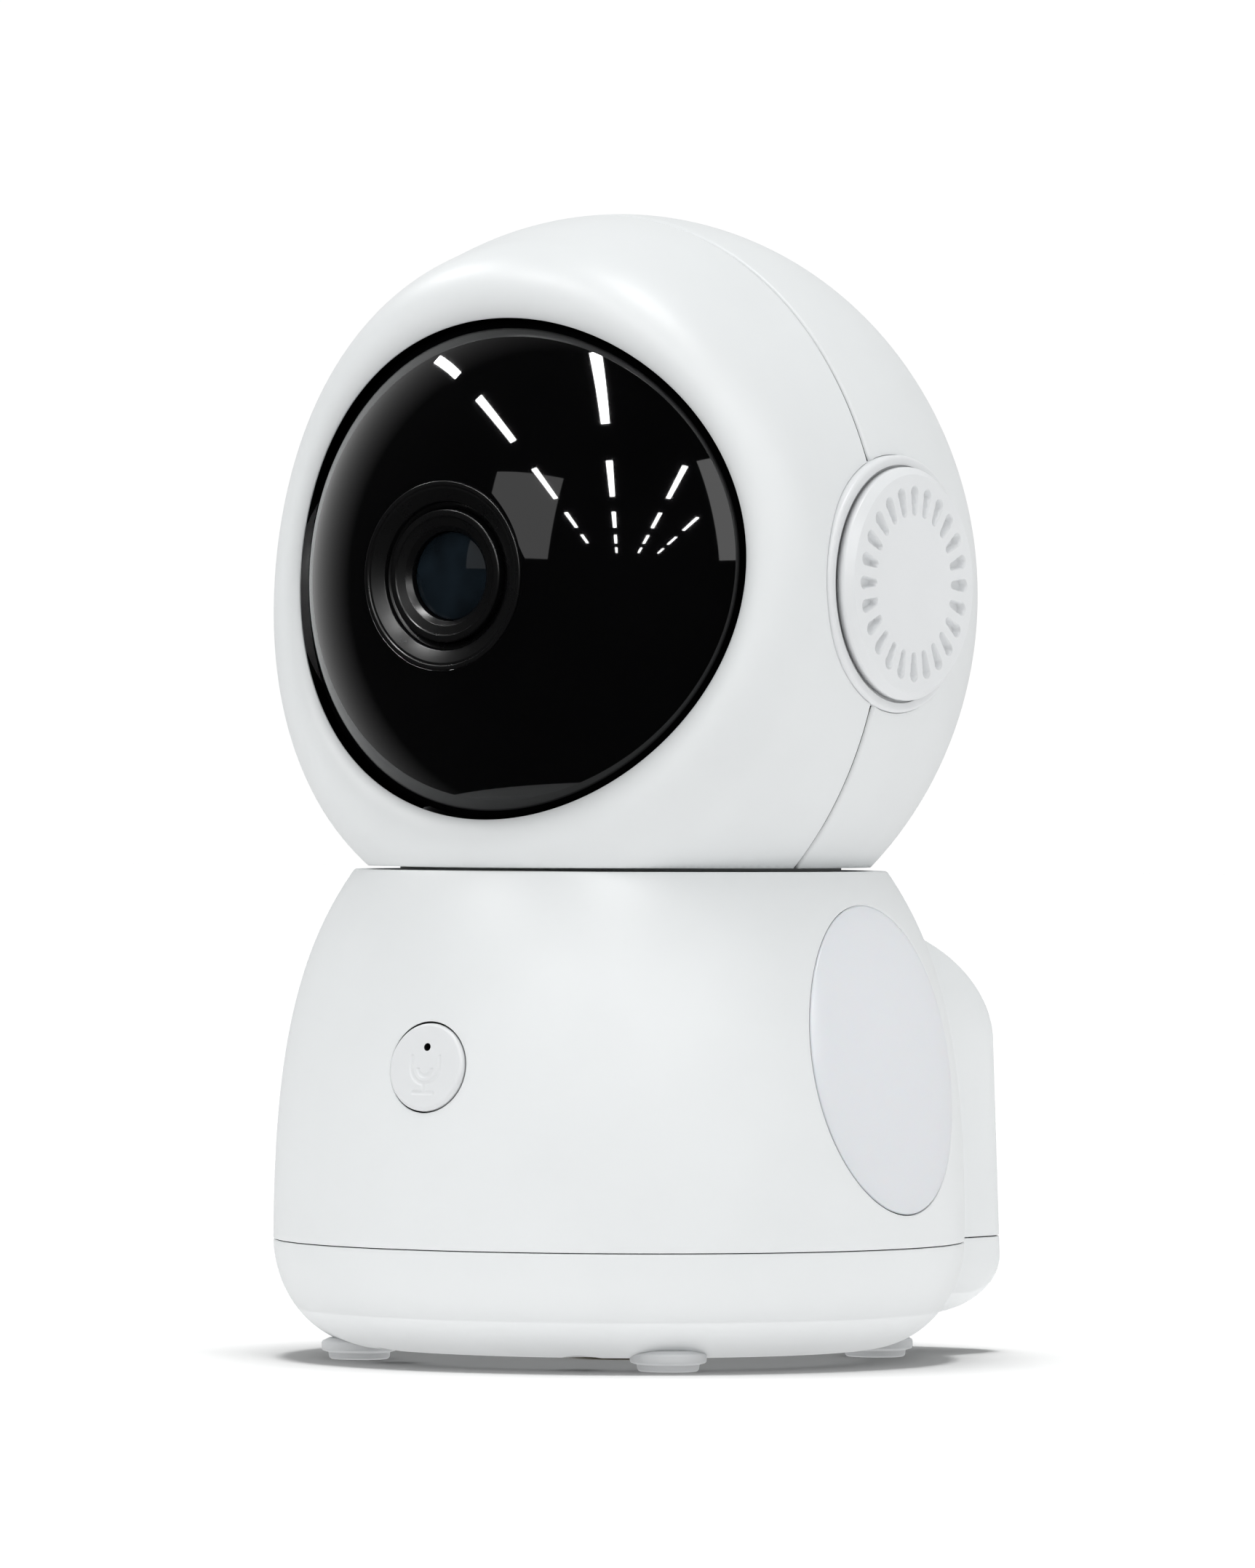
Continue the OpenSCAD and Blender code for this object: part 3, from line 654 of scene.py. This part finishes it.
def make_base_shell():
    lower = np.arange(SEAM_MID_Z + SEAM_PART, 16.5, 0.6)
    sockets = np.arange(16.5, 22.5, 0.3)
    upper = np.arange(22.5, BASE_TOP_Z - 0.9, 0.6)
    heights = np.concatenate([lower, sockets, upper, [BASE_TOP_Z - 0.62]])
    rim_r = float(base_radius(BASE_TOP_Z - 0.62))
    rim = rounded([(rim_r, BASE_TOP_Z - 0.62, 0), (BASE_TOP_R, BASE_TOP_Z, 0.45),
                   (DRUM_HOLE_R + 0.3, BASE_TOP_Z, 0)], 7)[1:]
    rim = np.vstack([rim, [(DRUM_HOLE_R, BASE_TOP_Z - 0.3)]])
    skin = grid(np.vstack([base_rows(heights), ring_rows(rim)]))
    for field in (around_button, around_cover, *SOCKET_FIELDS):
        skin = trimmed(skin, field)
    # Past its rounded edge, the gap round the call button takes the painted shade
    button_edge = [(0.03, 0.01, 0), (0.09, 0.05, 0), (0.12, 0.13, 0), (0.12, 0.5, 1), (0.12, 1.8, 1)]
    rims = [(level_at(2, SEAM_MID_Z + SEAM_PART), BASE_SEAM), (round_at(DRUM_HOLE_R), SHARP_EDGE),
            (around_button, button_edge), (around_cover, SHARP_EDGE)]
    rims += [(field, SOFT_EDGE) for field in SOCKET_FIELDS]
    # The inside of the upper housing takes the painted shade
    shell = thickened(skin, BASE_WALL, rims, np.array([0, 0, 30]), inside_kind=1)
    piece("upper_housing", shell, SHELL_PAIR, "base", ["base_shell"])


def make_base_bottom():
    low_mid = BELLY_Z + BELLY_ROUND[1]
    curve = low_mid - BELLY_ROUND[1] * np.cos(np.radians(np.arange(6, 66, 3)))
    curve_end = low_mid - BELLY_ROUND[1] * math.cos(math.radians(63))
    upright = np.arange(curve_end + 0.5, SEAM_Z - SEAM_PART - 0.1, 0.5)
    heights = np.concatenate([curve, upright, [SEAM_MID_Z - SEAM_PART]])
    lip = HUMP_LOW_Z + np.array([-0.35, -0.15, 0, 0.03, 0.08, 0.15, 0.25, 0.4, 0.6, 0.85])
    heights = np.unique(np.round(np.concatenate([heights, lip]), 3))
    heights = heights[np.concatenate([[True], np.diff(heights) > 0.02])]
    flat_r = BASE_R - BELLY_ROUND[0]
    floor = [(r, BELLY_Z) for r in np.linspace(5, flat_r, 60)]
    skin = grid(np.vstack([ring_rows(floor), base_rows(heights)]))
    tripod_edge = [(0.1, 0.02, 0), (0.3, 0.2, 0), (0.3, 1.0, 0)]
    rims = [(level_at(2, SEAM_MID_Z - SEAM_PART), BASE_SEAM), (round_at(5), tripod_edge)]
    for field in [around_screw(x, y) for x, y in SCREW_MIDS]:
        skin = trimmed(skin, field)
        rims.append((field, SCREW_EDGE))
    # The inside of the bottom pan takes the painted shade
    shell = thickened(skin, BASE_WALL, rims, np.array([0, 0, 30]), inside_kind=1)
    piece("bottom_pan", shell, SHELL_PAIR, "base", ["base_bottom"])


def make_feet():
    pad = rounded([(0, 0, 0), (3.25, 0, 0.35), (3.35, 0.75, 0.15), (FOOT_R, 0.95, 0.3),
                   (FOOT_R, 1.9, 0.3), (3.3, 2.3, 0.2), (2.45, 2.3, 0), (2.45, 4.8, 0), (0, 4.8, 0)], 5)
    for end, y in (("front", -FOOT_AT), ("rear", FOOT_AT)):
        for side, x in (("left", -FOOT_AT), ("right", FOOT_AT)):
            skin = turned(pad, 96).placed(Matrix.Translation((x, y, 0)))
            piece(f"rubber_foot_{end}_{side}", skin, [LOOKS["foot_pad"]], "base",
                  [f"foot_{end}_{side}"])


def make_side_cover(side):
    share = np.concatenate([np.linspace(0, 0.9, 46), np.linspace(0.912, 1, 10)])
    angles = np.linspace(0, 2 * math.pi, 256, endpoint=False)
    y = COVER_HALF[0] * share[:, None] * np.cos(angles)
    z = COVER_MID_Z + COVER_HALF[1] * share[:, None] * np.sin(angles)
    rise = COVER_RISE * (1 - share ** 10) ** 0.5 * (0.72 + 0.28 * (1 - share ** 2)) - 0.12
    rise = np.minimum(rise, COVER_RISE)
    x = np.sqrt(base_radius(z) ** 2 - y ** 2) + rise[:, None]
    rows = np.stack([x, y, z], -1)
    skin = welded(grid(rows))
    rims = [(lambda points: around_cover(points, 0), [(0.0, 0.3, 0), (0.0, 1.2, 0)])]
    shell = thickened(skin, 1.5, rims, np.zeros(3))
    if side == "left":
        shell = shell.placed(Matrix.Diagonal((-1, 1, 1, 1)))
    piece(f"milky_cover_{side}", shell, [LOOKS["milk_cover"]], "base",
          [f"side_cover_{side}"])


def stroke_distance(x, y):
    """Distance to the strokes of a plain microphone mark."""
    def segment(ax, ay, bx, by):
        dx, dy = bx - ax, by - ay
        t = np.clip(((x - ax) * dx + (y - ay) * dy) / (dx * dx + dy * dy), 0, 1)
        return np.hypot(x - ax - t * dx, y - ay - t * dy)

    arm = 1.79
    bowl = np.where(y < 0, np.abs(np.hypot(x, y) - arm), 9.0)
    cradle = np.where(y < -0.2, np.abs(np.hypot(x, y + 0.15) - 0.85), 9.0)
    marks = [bowl, cradle, segment(-arm, 0, -arm, 1.07), segment(arm, 0, arm, 1.07),
             segment(0, -arm, 0, -2.8), segment(-1.25, -2.8, 1.25, -2.8)]
    return np.min(marks, axis=0)


def make_call_button():
    span = np.arange(-4.9, 4.91, 0.07)
    x, y = np.meshgrid(span, span)
    dip = 0.1 * np.clip((0.24 - stroke_distance(x, y)) / 0.12, 0, 1)
    face = 0.25 - dip - 0.0035 * (x ** 2 + y ** 2)
    skin = grid(np.stack([x, y, face], -1), closed=False)
    bevel = 0.45

    def inside_edge(points):
        return BUTTON_R - bevel - np.hypot(points[:, 0], points[:, 1])

    def around_mic(points):
        return np.hypot(points[:, 0] - MIC_HOLE[0], points[:, 1] - MIC_HOLE[1]) - MIC_HOLE[2]

    skin = trimmed(trimmed(skin, inside_edge), around_mic)
    steps = [(bevel * math.sin(a), bevel * (1 - math.cos(a)), 0) for a in np.radians(range(15, 91, 15))]
    # The mic hole's wall and the cap's inside take the painted shade
    rims = [(inside_edge, steps + [(bevel, 0.8, 0), (bevel, 1.2, 0), (bevel, 2.6, 0)]),
            (around_mic, [(0.03, 0.01, 0), (0.06, 0.05, 0), (0.06, 0.5, 1), (0.06, 2.4, 1)])]
    shell = thickened(skin, 2.6, rims, np.array([0, 0, -50.0]), inside_kind=1)
    up_right = Matrix.Rotation(math.pi / 2 - BUTTON_LEAN, 4, "X")
    shell = shell.placed(Matrix.Translation(Vector(BUTTON_MID)) @ up_right)
    piece("call_button_cap", shell, [LOOKS["white_trim"], PAINTED_SHADE], "call_button",
          ["call_button"])


# ---------- head ----------

def on_form(directions, mid, axes):
    return mid + directions * axes


def unit(vectors):
    return vectors / np.linalg.norm(vectors, axis=-1, keepdims=True)


def sweep(first, last, shares):
    """Rows of directions along the great arcs from each first direction to each last one."""
    angle = np.arccos(np.clip(np.sum(first * last, -1), -1, 1))[None, :, None]
    shares = np.asarray(shares, float)[:, None, None]
    return (np.sin((1 - shares) * angle) * first + np.sin(shares * angle) * last) / np.sin(angle)


def rim_points(angles):
    """The edge of the face opening."""
    x = RIM_HALF[0] * np.cos(angles)
    z = RIM_MID_Z + RIM_HALF[1] * np.sin(angles)
    inside = 1 - (x / RIM_AXES[0]) ** 2 - ((z - TILT_MID[2]) / RIM_AXES[2]) ** 2
    return np.stack([x, -RIM_AXES[1] * np.sqrt(inside), z], -1)


def seam_directions(angles, seam_y):
    """Directions on the head's form that lie in the plane of the seam."""
    deep = seam_y / HEAD_AXES[1]
    wide = math.sqrt(1 - deep * deep)
    return np.stack([wide * np.cos(angles), np.full_like(angles, deep), wide * np.sin(angles)], -1)


def form_normals(points, mid, axes):
    return unit((points - mid) / axes ** 2)


def around_ear(points):
    """Outside the round seats that the ears stand on."""
    reach = np.hypot(points[:, 1], points[:, 2] - TILT_MID[2])
    return np.where(np.abs(points[:, 0]) > 20, reach - EAR_R - EAR_GAP, EAR_R)


# The seam groove's two deepest steps take the painted shade
SEAM_GROOVE = [(0.12, 0.04, 0), (0.27, 0.16, 0), (0.37, 0.36, 0), (0.41, 0.62, 1), (0.41, 1.2, 1)]
NECK_EDGE = [(0.05, 0.03, 0), (0.1, 0.12, 0), (0.1, 0.6, 0)]
EAR_EDGE = [(0.02, 0.01, 0), (0.04, 0.05, 0), (0.04, 1.2, 0)]


def make_head_front():
    columns = COLUMNS
    angles = np.linspace(0, 2 * math.pi, columns, endpoint=False)
    rim = rim_points(angles)
    start = unit((rim - HEAD_MID) / HEAD_AXES)
    end = seam_directions(angles, HEAD_SEAM_Y - HEAD_SEAM_HALF)
    middle_radius = float(np.mean(HEAD_AXES))
    length = np.arccos(np.clip(np.sum(start * end, -1), -1, 1)) * middle_radius
    foot = on_form(start, HEAD_MID, HEAD_AXES)
    rows = []
    lip_steps = 18
    turns = np.linspace(math.pi / 2, 0, lip_steps + 1)
    rest = np.linspace(0, 1, 62)[1:]
    plan = [(LIP_WIDTH * (1 - math.sin(turn)), 1 - math.cos(turn)) for turn in turns]
    for distance, drop in plan:
        rows.append((distance / length, np.full(columns, drop), distance * np.ones(columns)))
    for share in rest:
        part = LIP_WIDTH / length + (1 - LIP_WIDTH / length) * share
        rows.append((part, np.zeros(columns), part * length))
    surface = []
    for part, drop, distance in rows:
        angle = np.arccos(np.clip(np.sum(start * end, -1), -1, 1))
        ahead = (np.sin((1 - part) * angle)[:, None] * start + np.sin(part * angle)[:, None] * end)
        ahead /= np.sin(angle)[:, None]
        place = on_form(ahead, HEAD_MID, HEAD_AXES)
        facing = form_normals(place, HEAD_MID, HEAD_AXES)
        rise = COLLAR_RISE * np.exp(-((distance - COLLAR_AT) / COLLAR_SPREAD) ** 2)
        to_seam = length - part * length
        fade = np.clip(to_seam / COLLAR_FADE, 0, 1)
        place = place + (rise * fade)[:, None] * facing
        surface.append(place + drop[:, None] * (rim - foot))
    skin = grid(np.array(surface))
    skin = trimmed(skin, level_at(2, NECK_Z))
    skin = trimmed(skin, around_ear)

    def at_rim(points):
        return (np.linalg.norm((points - TILT_MID) / RIM_AXES, axis=1) - 1) * RIM_AXES[0]

    # Past the lip's small rounded edge, the opening's inner wall takes the painted shade
    lip_edge = [(0.08, 0.02, 0), (0.14, 0.08, 0), (0.16, 0.18, 0), (0.16, 0.3, 1), (0.1, 0.9, 1)]
    rims = [(at_rim, lip_edge), (level_at(1, HEAD_SEAM_Y - HEAD_SEAM_HALF), SEAM_GROOVE),
            (level_at(2, NECK_Z), NECK_EDGE), (around_ear, EAR_EDGE)]
    # The inside of the front shell takes the painted shade
    shell = thickened(skin, HEAD_WALL, rims, HEAD_MID, inside_kind=1)
    piece("front_head_shell", shell, SHELL_PAIR, "head", ["head_front_shell"])


def make_head_rear():
    columns = COLUMNS
    angles = np.linspace(0, 2 * math.pi, columns, endpoint=False)
    start = seam_directions(angles, HEAD_SEAM_Y + HEAD_SEAM_HALF)
    end = seam_directions(angles, HEAD_AXES[1] * 0.99995)
    directions = sweep(start, end, np.linspace(0, 1, 100))
    places = on_form(directions, HEAD_MID, HEAD_AXES)
    pole = np.broadcast_to(HEAD_MID + np.array([0, HEAD_AXES[1], 0]), (1, columns, 3))
    skin = welded(grid(np.vstack([places, pole])))
    skin = trimmed(skin, level_at(2, NECK_Z))
    skin = trimmed(skin, around_ear)
    rims = [(level_at(1, HEAD_SEAM_Y + HEAD_SEAM_HALF), SEAM_GROOVE), (level_at(2, NECK_Z), NECK_EDGE),
            (around_ear, EAR_EDGE)]
    # The inside of the rear shell takes the painted shade
    shell = thickened(skin, HEAD_WALL, rims, HEAD_MID, inside_kind=1)
    piece("rear_head_shell", shell, SHELL_PAIR, "head", ["head_rear_shell"])


def on_tilt_axis(side):
    """Turns +Z to the outward direction along the tilt axis on one side."""
    turn = Matrix.Rotation(math.pi / 2 if side == "right" else -math.pi / 2, 4, "Y")
    return Matrix.Translation(Vector(TILT_MID)) @ turn


def make_ear(side):
    groove_x = EAR_CAP_X - 0.3
    flange = rounded([(0, 33.2, 0), (10.8, 33.2, 0), (10.8, groove_x, 0),
                      (EAR_CAP_R + CAP_GAP, groove_x, 0), (EAR_CAP_R + CAP_GAP, EAR_CAP_X, 0.06),
                      (EAR_R, EAR_CAP_X, 0.42), (EAR_R, 33.4, 0),
                      (12.4, 33.4, 0), (12.4, 31.4, 0), (0, 31.4, 0)], 6)
    piece(f"ear_ring_{side}", turned(flange, 240).placed(on_tilt_axis(side)), [LOOKS["white_trim"]],
          "head", [f"ear_flange_{side}"])
    bevel = 0.8
    edge = rounded([(EAR_CAP_R - 2 * bevel, EAR_OUT_X, 0), (EAR_CAP_R - bevel, EAR_OUT_X, 0.12),
                    (EAR_CAP_R, EAR_OUT_X - bevel, 0.25), (EAR_CAP_R, EAR_CAP_X, 0),
                    (0, EAR_CAP_X, 0)], 4)
    inner = np.concatenate([np.linspace(0, 6.6, 8), np.arange(6.8, EAR_CAP_R - 2 * bevel - 0.02, 0.09)])
    profile = np.vstack([[(r, EAR_OUT_X) for r in inner], edge])
    skin = turned(profile, 720)
    x, y, height = skin.points.T
    step = 2 * math.pi / EAR_SLOTS
    angle = np.arctan2(y, x)
    angle = angle - step * np.round(angle / step)
    radius = np.hypot(x, y)
    along, off = radius * np.cos(angle), radius * np.sin(angle)
    slot_in, slot_out = (7.75, 0.36), (9.75, 0.64)
    t = np.clip((along - slot_in[0]) / (slot_out[0] - slot_in[0]), 0, 1)
    half = slot_in[1] + t * (slot_out[1] - slot_in[1])
    away = np.hypot(along - slot_in[0] - t * (slot_out[0] - slot_in[0]), off) - half
    dip = SLOT_DEPTH * np.clip((0.06 - away) / 0.13, 0, 1)
    top = height > EAR_OUT_X - 0.01
    points = np.stack([x, y, np.where(top, height - dip, height)], -1)
    skin = Skin(points, skin.faces)
    piece(f"ear_grille_{side}", skin.placed(on_tilt_axis(side)), [LOOKS["white_trim"]],
          "head", [f"ear_cap_{side}"])


# ---------- lens ball ----------

def make_ball_front():
    columns = 360
    hole = corners("lens_ring")[1][0] + 0.12
    angles = np.linspace(0, 2 * math.pi, columns, endpoint=False)
    x, z = hole * np.cos(angles), LENS_Z + hole * np.sin(angles)
    deep = 1 - (x / BALL_AXES[0]) ** 2 - ((z - TILT_MID[2]) / BALL_AXES[2]) ** 2
    start = unit((np.stack([x, -BALL_AXES[1] * np.sqrt(deep), z], -1) - TILT_MID) / BALL_AXES)
    end = np.stack([np.cos(angles), np.zeros(columns), np.sin(angles)], -1)
    rows = on_form(sweep(start, end, np.linspace(0, 1, 90)), TILT_MID, BALL_AXES)
    skin = grid(rows)

    def inside_flats(points):
        return BALL_FLAT_X - np.abs(points[:, 0])

    def at_hole(points):
        return np.hypot(points[:, 0], points[:, 2] - LENS_Z) - hole

    skin = trimmed(skin, inside_flats)
    edge = [(0.03, 0.01, 0), (0.08, 0.05, 0), (0.1, 0.13, 0), (0.1, 0.8, 0)]
    flat_edge = [(0.0, 0.1, 0), (0.0, 0.8, 0)]
    rims = [(at_hole, edge), (level_at(1, 0), flat_edge), (inside_flats, flat_edge)]
    shell = thickened(skin, BALL_WALL, rims, TILT_MID)
    piece("glossy_ball_front", shell, [LOOKS["black_gloss"]], "ball", ["ball_front"])


def lens_frame():
    """Turns +Z to point out of the lens, towards -Y."""
    return Matrix.Translation((0, 0, LENS_Z)) @ Matrix.Rotation(math.pi / 2, 4, "X")


def make_lens():
    ring_r, ring_y = corners("lens_ring")[1][0], -corners("lens_ring")[0][1]
    barrel_r, barrel_y = corners("lens_barrel")[1][0], -corners("lens_barrel")[0][1]
    glass_r, glass_y = corners("front_glass")[1][0], -corners("front_glass")[0][1]
    ring = rounded([(ring_r, ring_y - 3, 0), (ring_r, ring_y, 0.12), (ring_r - 0.45, ring_y, 0.1),
                    (ring_r - 0.55, ring_y - 0.12, 0.05), (ring_r - 0.8, ring_y - 0.1, 0.1),
                    (barrel_r + 0.85, ring_y - 0.75, 0.15), (barrel_r + 0.75, ring_y - 1.3, 0.1),
                    (barrel_r + 0.1, ring_y - 1.5, 0), (barrel_r + 0.1, ring_y - 3, 0),
                    (ring_r, ring_y - 3, 0)], 5)
    piece("lens_trim_ring", turned(ring, 240).placed(lens_frame()), [LOOKS["black_matte"]],
          "ball", ["lens_ring"])
    barrel = rounded([(glass_r + 0.1, barrel_y - 4, 0), (glass_r + 0.1, barrel_y - 0.9, 0.1),
                      (glass_r + 0.65, barrel_y - 0.35, 0.15), (barrel_r - 0.8, barrel_y - 0.12, 0.06),
                      (barrel_r - 0.7, barrel_y, 0.06), (barrel_r, barrel_y, 0.2),
                      (barrel_r, barrel_y - 4, 0), (glass_r + 0.1, barrel_y - 4, 0)], 5)
    piece("lens_barrel_front", turned(barrel, 240).placed(lens_frame()), [LOOKS["black_matte"]],
          "ball", ["lens_barrel"])
    dome = [(glass_r * math.sin(a) / math.sin(0.42), glass_y - 11.4 * (1 - math.cos(a)))
            for a in np.linspace(0, 0.42, 24)]
    back = [(glass_r, glass_y - 1.5), (0, glass_y - 1.5)]
    piece("lens_front_glass", turned(dome + back, 192).placed(lens_frame()), [LOOKS["lens_glass"]],
          "ball", ["front_glass"])


# ---------- camera, floor and light ----------

VIEW_AZIMUTH = math.radians(34.3)
VIEW_DISTANCE = 1.2
VIEW_HEIGHT = 0.062
VIEW_ROLL = math.radians(0.29)
FOCAL_LENGTH = 253.0
FLOOR_SHADE = 0.35
FLOOR_LIGHT = 6.2
TUBE_LIGHT = 60
SKY_LOW = 0.5
SKY_HIGH = 1.8
BOUNCE_LIGHT = 2.5
# What the ball reflects: dark in front, brighter towards the back
GLOSS_FROM_TO = (-0.1, 0.6)
GLOSS_LOW_HIGH = (0.015, 0.6)
BACKDROP = 1.02


def make_camera():
    data = bpy.data.cameras.new("view")
    data.lens = FOCAL_LENGTH
    data.sensor_width = 36
    data.shift_x = 0.0040
    data.shift_y = 0.0026
    data.clip_start, data.clip_end = 0.05, 20
    camera = bpy.data.objects.new("view", data)
    back = Vector((math.sin(VIEW_AZIMUTH), -math.cos(VIEW_AZIMUTH), 0))
    camera.location = back * VIEW_DISTANCE + Vector((0, 0, VIEW_HEIGHT))
    turn = (-back).to_track_quat("-Z", "Y").to_matrix().to_4x4() @ Matrix.Rotation(VIEW_ROLL, 4, "Z")
    camera.rotation_euler = turn.to_euler()
    bpy.context.scene.collection.objects.link(camera)
    bpy.context.scene.camera = camera


def direction(azimuth, elevation):
    """Unit vector towards an azimuth (0 is -Y, 90 is +X) and elevation in degrees."""
    a, e = math.radians(azimuth), math.radians(elevation)
    return Vector((math.sin(a) * math.cos(e), -math.cos(a) * math.cos(e), math.sin(e)))


def panel_light(name, centre, across, up, strength):
    """A flat lamp, seen only as a reflection, with half extents as vectors, facing the object."""
    data = bpy.data.lights.new(name, "AREA")
    data.shape = "RECTANGLE"
    data.size = 2 * across.length
    data.size_y = 2 * up.length
    data.energy = strength * math.pi * data.size * data.size_y
    data.spread = math.pi
    lamp = bpy.data.objects.new(name, data)
    facing = across.cross(up).normalized()
    if facing.dot(centre) < 0:
        facing = -facing
    x_axis = across.normalized()
    y_axis = facing.cross(x_axis)
    lamp.matrix_world = Matrix.Translation(centre) @ Matrix((x_axis, y_axis, facing)).transposed().to_4x4()
    bpy.context.scene.collection.objects.link(lamp)
    lamp.visible_camera = False
    lamp.visible_diffuse = False


def make_ceiling_tubes():
    """Four rows of ceiling tubes that run away from the object, seen only as reflections."""
    away = direction(40, -1.6)
    side = away.cross(Vector((0, 0, 1))).normalized()
    up = side.cross(away)
    ceiling = 3.0
    tube, pitch, thick = 0.6, 1.0, 0.028
    rows = [(0.74, -1.1, 5), (0.07, 0.0, 5), (-0.59, 1.0, 4), (-1.19, 2.0, 3)]
    for row, (lateral, first, count) in enumerate(rows):
        for k in range(count):
            middle = first + k * pitch + tube / 2
            place = ceiling * (up + lateral * side + middle * away)
            along = away * ceiling * tube / 2
            across = side * ceiling * thick
            panel_light(f"tube_{row}_{k}", place, along, across, TUBE_LIGHT)


def patch(name, azimuths, elevations, strength, distance=2.0):
    """A bright patch that the ball reflects, between two azimuths and two elevations."""
    middle = direction(sum(azimuths) / 2, sum(elevations) / 2) * distance
    across = direction(azimuths[1], sum(elevations) / 2) - direction(azimuths[0], sum(elevations) / 2)
    up = direction(sum(azimuths) / 2, elevations[1]) - direction(sum(azimuths) / 2, elevations[0])
    panel_light(name, middle, across * distance / 2, up * distance / 2, strength)


def make_world():
    """A soft sky for the shells, a darker one for reflections and a white one for the camera."""
    world = bpy.data.worlds.new("studio")
    world.use_nodes = True
    tree = world.node_tree
    nodes, links = tree.nodes, tree.links
    nodes.clear()
    path = nodes.new("ShaderNodeLightPath")
    where = nodes.new("ShaderNodeTexCoord")
    split = nodes.new("ShaderNodeSeparateXYZ")
    links.new(where.outputs["Generated"], split.inputs["Vector"])

    def sky(colour, strength):
        made = nodes.new("ShaderNodeBackground")
        made.inputs["Color"].default_value = (*colour, 1)
        made.inputs["Strength"].default_value = strength
        return made

    def choose(factor, first, second):
        mix = nodes.new("ShaderNodeMixShader")
        links.new(factor, mix.inputs[0])
        links.new(first.outputs[0], mix.inputs[1])
        links.new(second.outputs[0], mix.inputs[2])
        return mix

    def mapped(value, from_low, from_high, low, high):
        made = nodes.new("ShaderNodeMapRange")
        ends = {"From Min": from_low, "From Max": from_high, "To Min": low, "To Max": high}
        for end, number in ends.items():
            made.inputs[end].default_value = number
        links.new(value, made.inputs["Value"])
        return made.outputs["Result"]

    def product(first, second):
        made = nodes.new("ShaderNodeMath")
        made.operation = "MULTIPLY"
        links.new(first, made.inputs[0])
        links.new(second, made.inputs[1])
        return made.outputs[0]

    gloss = sky((1, 1, 1), 1.0)
    links.new(mapped(split.outputs["Y"], *GLOSS_FROM_TO, *GLOSS_LOW_HIGH), gloss.inputs["Strength"])
    soft = sky((0.985, 0.998, 1.0), 1.0)
    height = mapped(product(split.outputs["Z"], split.outputs["Z"]), 0, 1, SKY_LOW, SKY_HIGH)
    sideways = mapped(split.outputs["X"], -1, 1, 1.12, 0.88)
    links.new(product(height, sideways), soft.inputs["Strength"])
    seen = sky((1, 1, 1), BACKDROP)
    mixed = choose(path.outputs["Is Glossy Ray"], soft, gloss)
    mixed = choose(path.outputs["Is Camera Ray"], mixed, seen)
    out = nodes.new("ShaderNodeOutputWorld")
    links.new(mixed.outputs[0], out.inputs["Surface"])
    bpy.context.scene.world = world
    bpy.context.scene.view_settings.view_transform = "Standard"


def make_floor():
    """A dark floor that its own lamp lights to white, so that it throws little light on the object."""
    rows = np.array([[(x, y, 0) for x in np.linspace(-6000, 6000, 3)] for y in (-6000, 0, 6000)])
    skin = grid(rows, closed=False)
    mesh = bpy.data.meshes.new("floor")
    mesh.from_pydata((skin.points * MM).tolist(), [], skin.faces)
    shade = (FLOOR_SHADE,) * 3
    mesh.materials.append(moulded("white_sweep", shade, 0.8, grain=200, spread=0.001,
                                  Specular_IOR_Level=0.0))
    floor = bpy.data.objects.new("floor", mesh)
    bpy.context.scene.collection.objects.link(floor)
    floor.visible_glossy = False
    make_floor_light(floor)


def make_floor_light(floor):
    """A lamp that lights only the floor, where the object casts its shadow."""
    data = bpy.data.lights.new("floor_light", "SUN")
    data.energy = FLOOR_LIGHT
    data.angle = math.radians(17)
    lamp = bpy.data.objects.new("floor_light", data)
    bpy.context.scene.collection.objects.link(lamp)
    lit = bpy.data.collections.new("lit_by_floor_light")
    lit.objects.link(floor)
    lamp.light_linking.receiver_collection = lit


def make_bounce_light():
    """Light that a white sweep throws up at the base, which shades the head from it."""
    data = bpy.data.lights.new("bounce_light", "SUN")
    data.energy = BOUNCE_LIGHT
    data.angle = math.radians(75)
    lamp = bpy.data.objects.new("bounce_light", data)
    lamp.rotation_euler = (math.pi, 0, 0)
    lamp.visible_glossy = False
    bpy.context.scene.collection.objects.link(lamp)
    lit = bpy.data.collections.new("lit_by_bounce")
    for thing in bpy.data.objects:
        if thing.name.startswith(("upper_housing", "bottom_pan", "rubber_foot")):
            lit.objects.link(thing)
    lamp.light_linking.receiver_collection = lit
    lamp.light_linking.blocker_collection = lit


make_camera()
make_world()
make_floor()
make_ceiling_tubes()
patch("window", (-14, 15), (10, 39), 1.3)
patch("strip", (76, 86), (9, 42), 2.2)

dress_cad_nodes()
make_base_shell()
make_base_bottom()
make_feet()
for cover_side in ("left", "right"):
    make_side_cover(cover_side)
    make_ear(cover_side)
make_call_button()
make_head_front()
make_head_rear()
make_ball_front()
make_lens()
make_bounce_light()
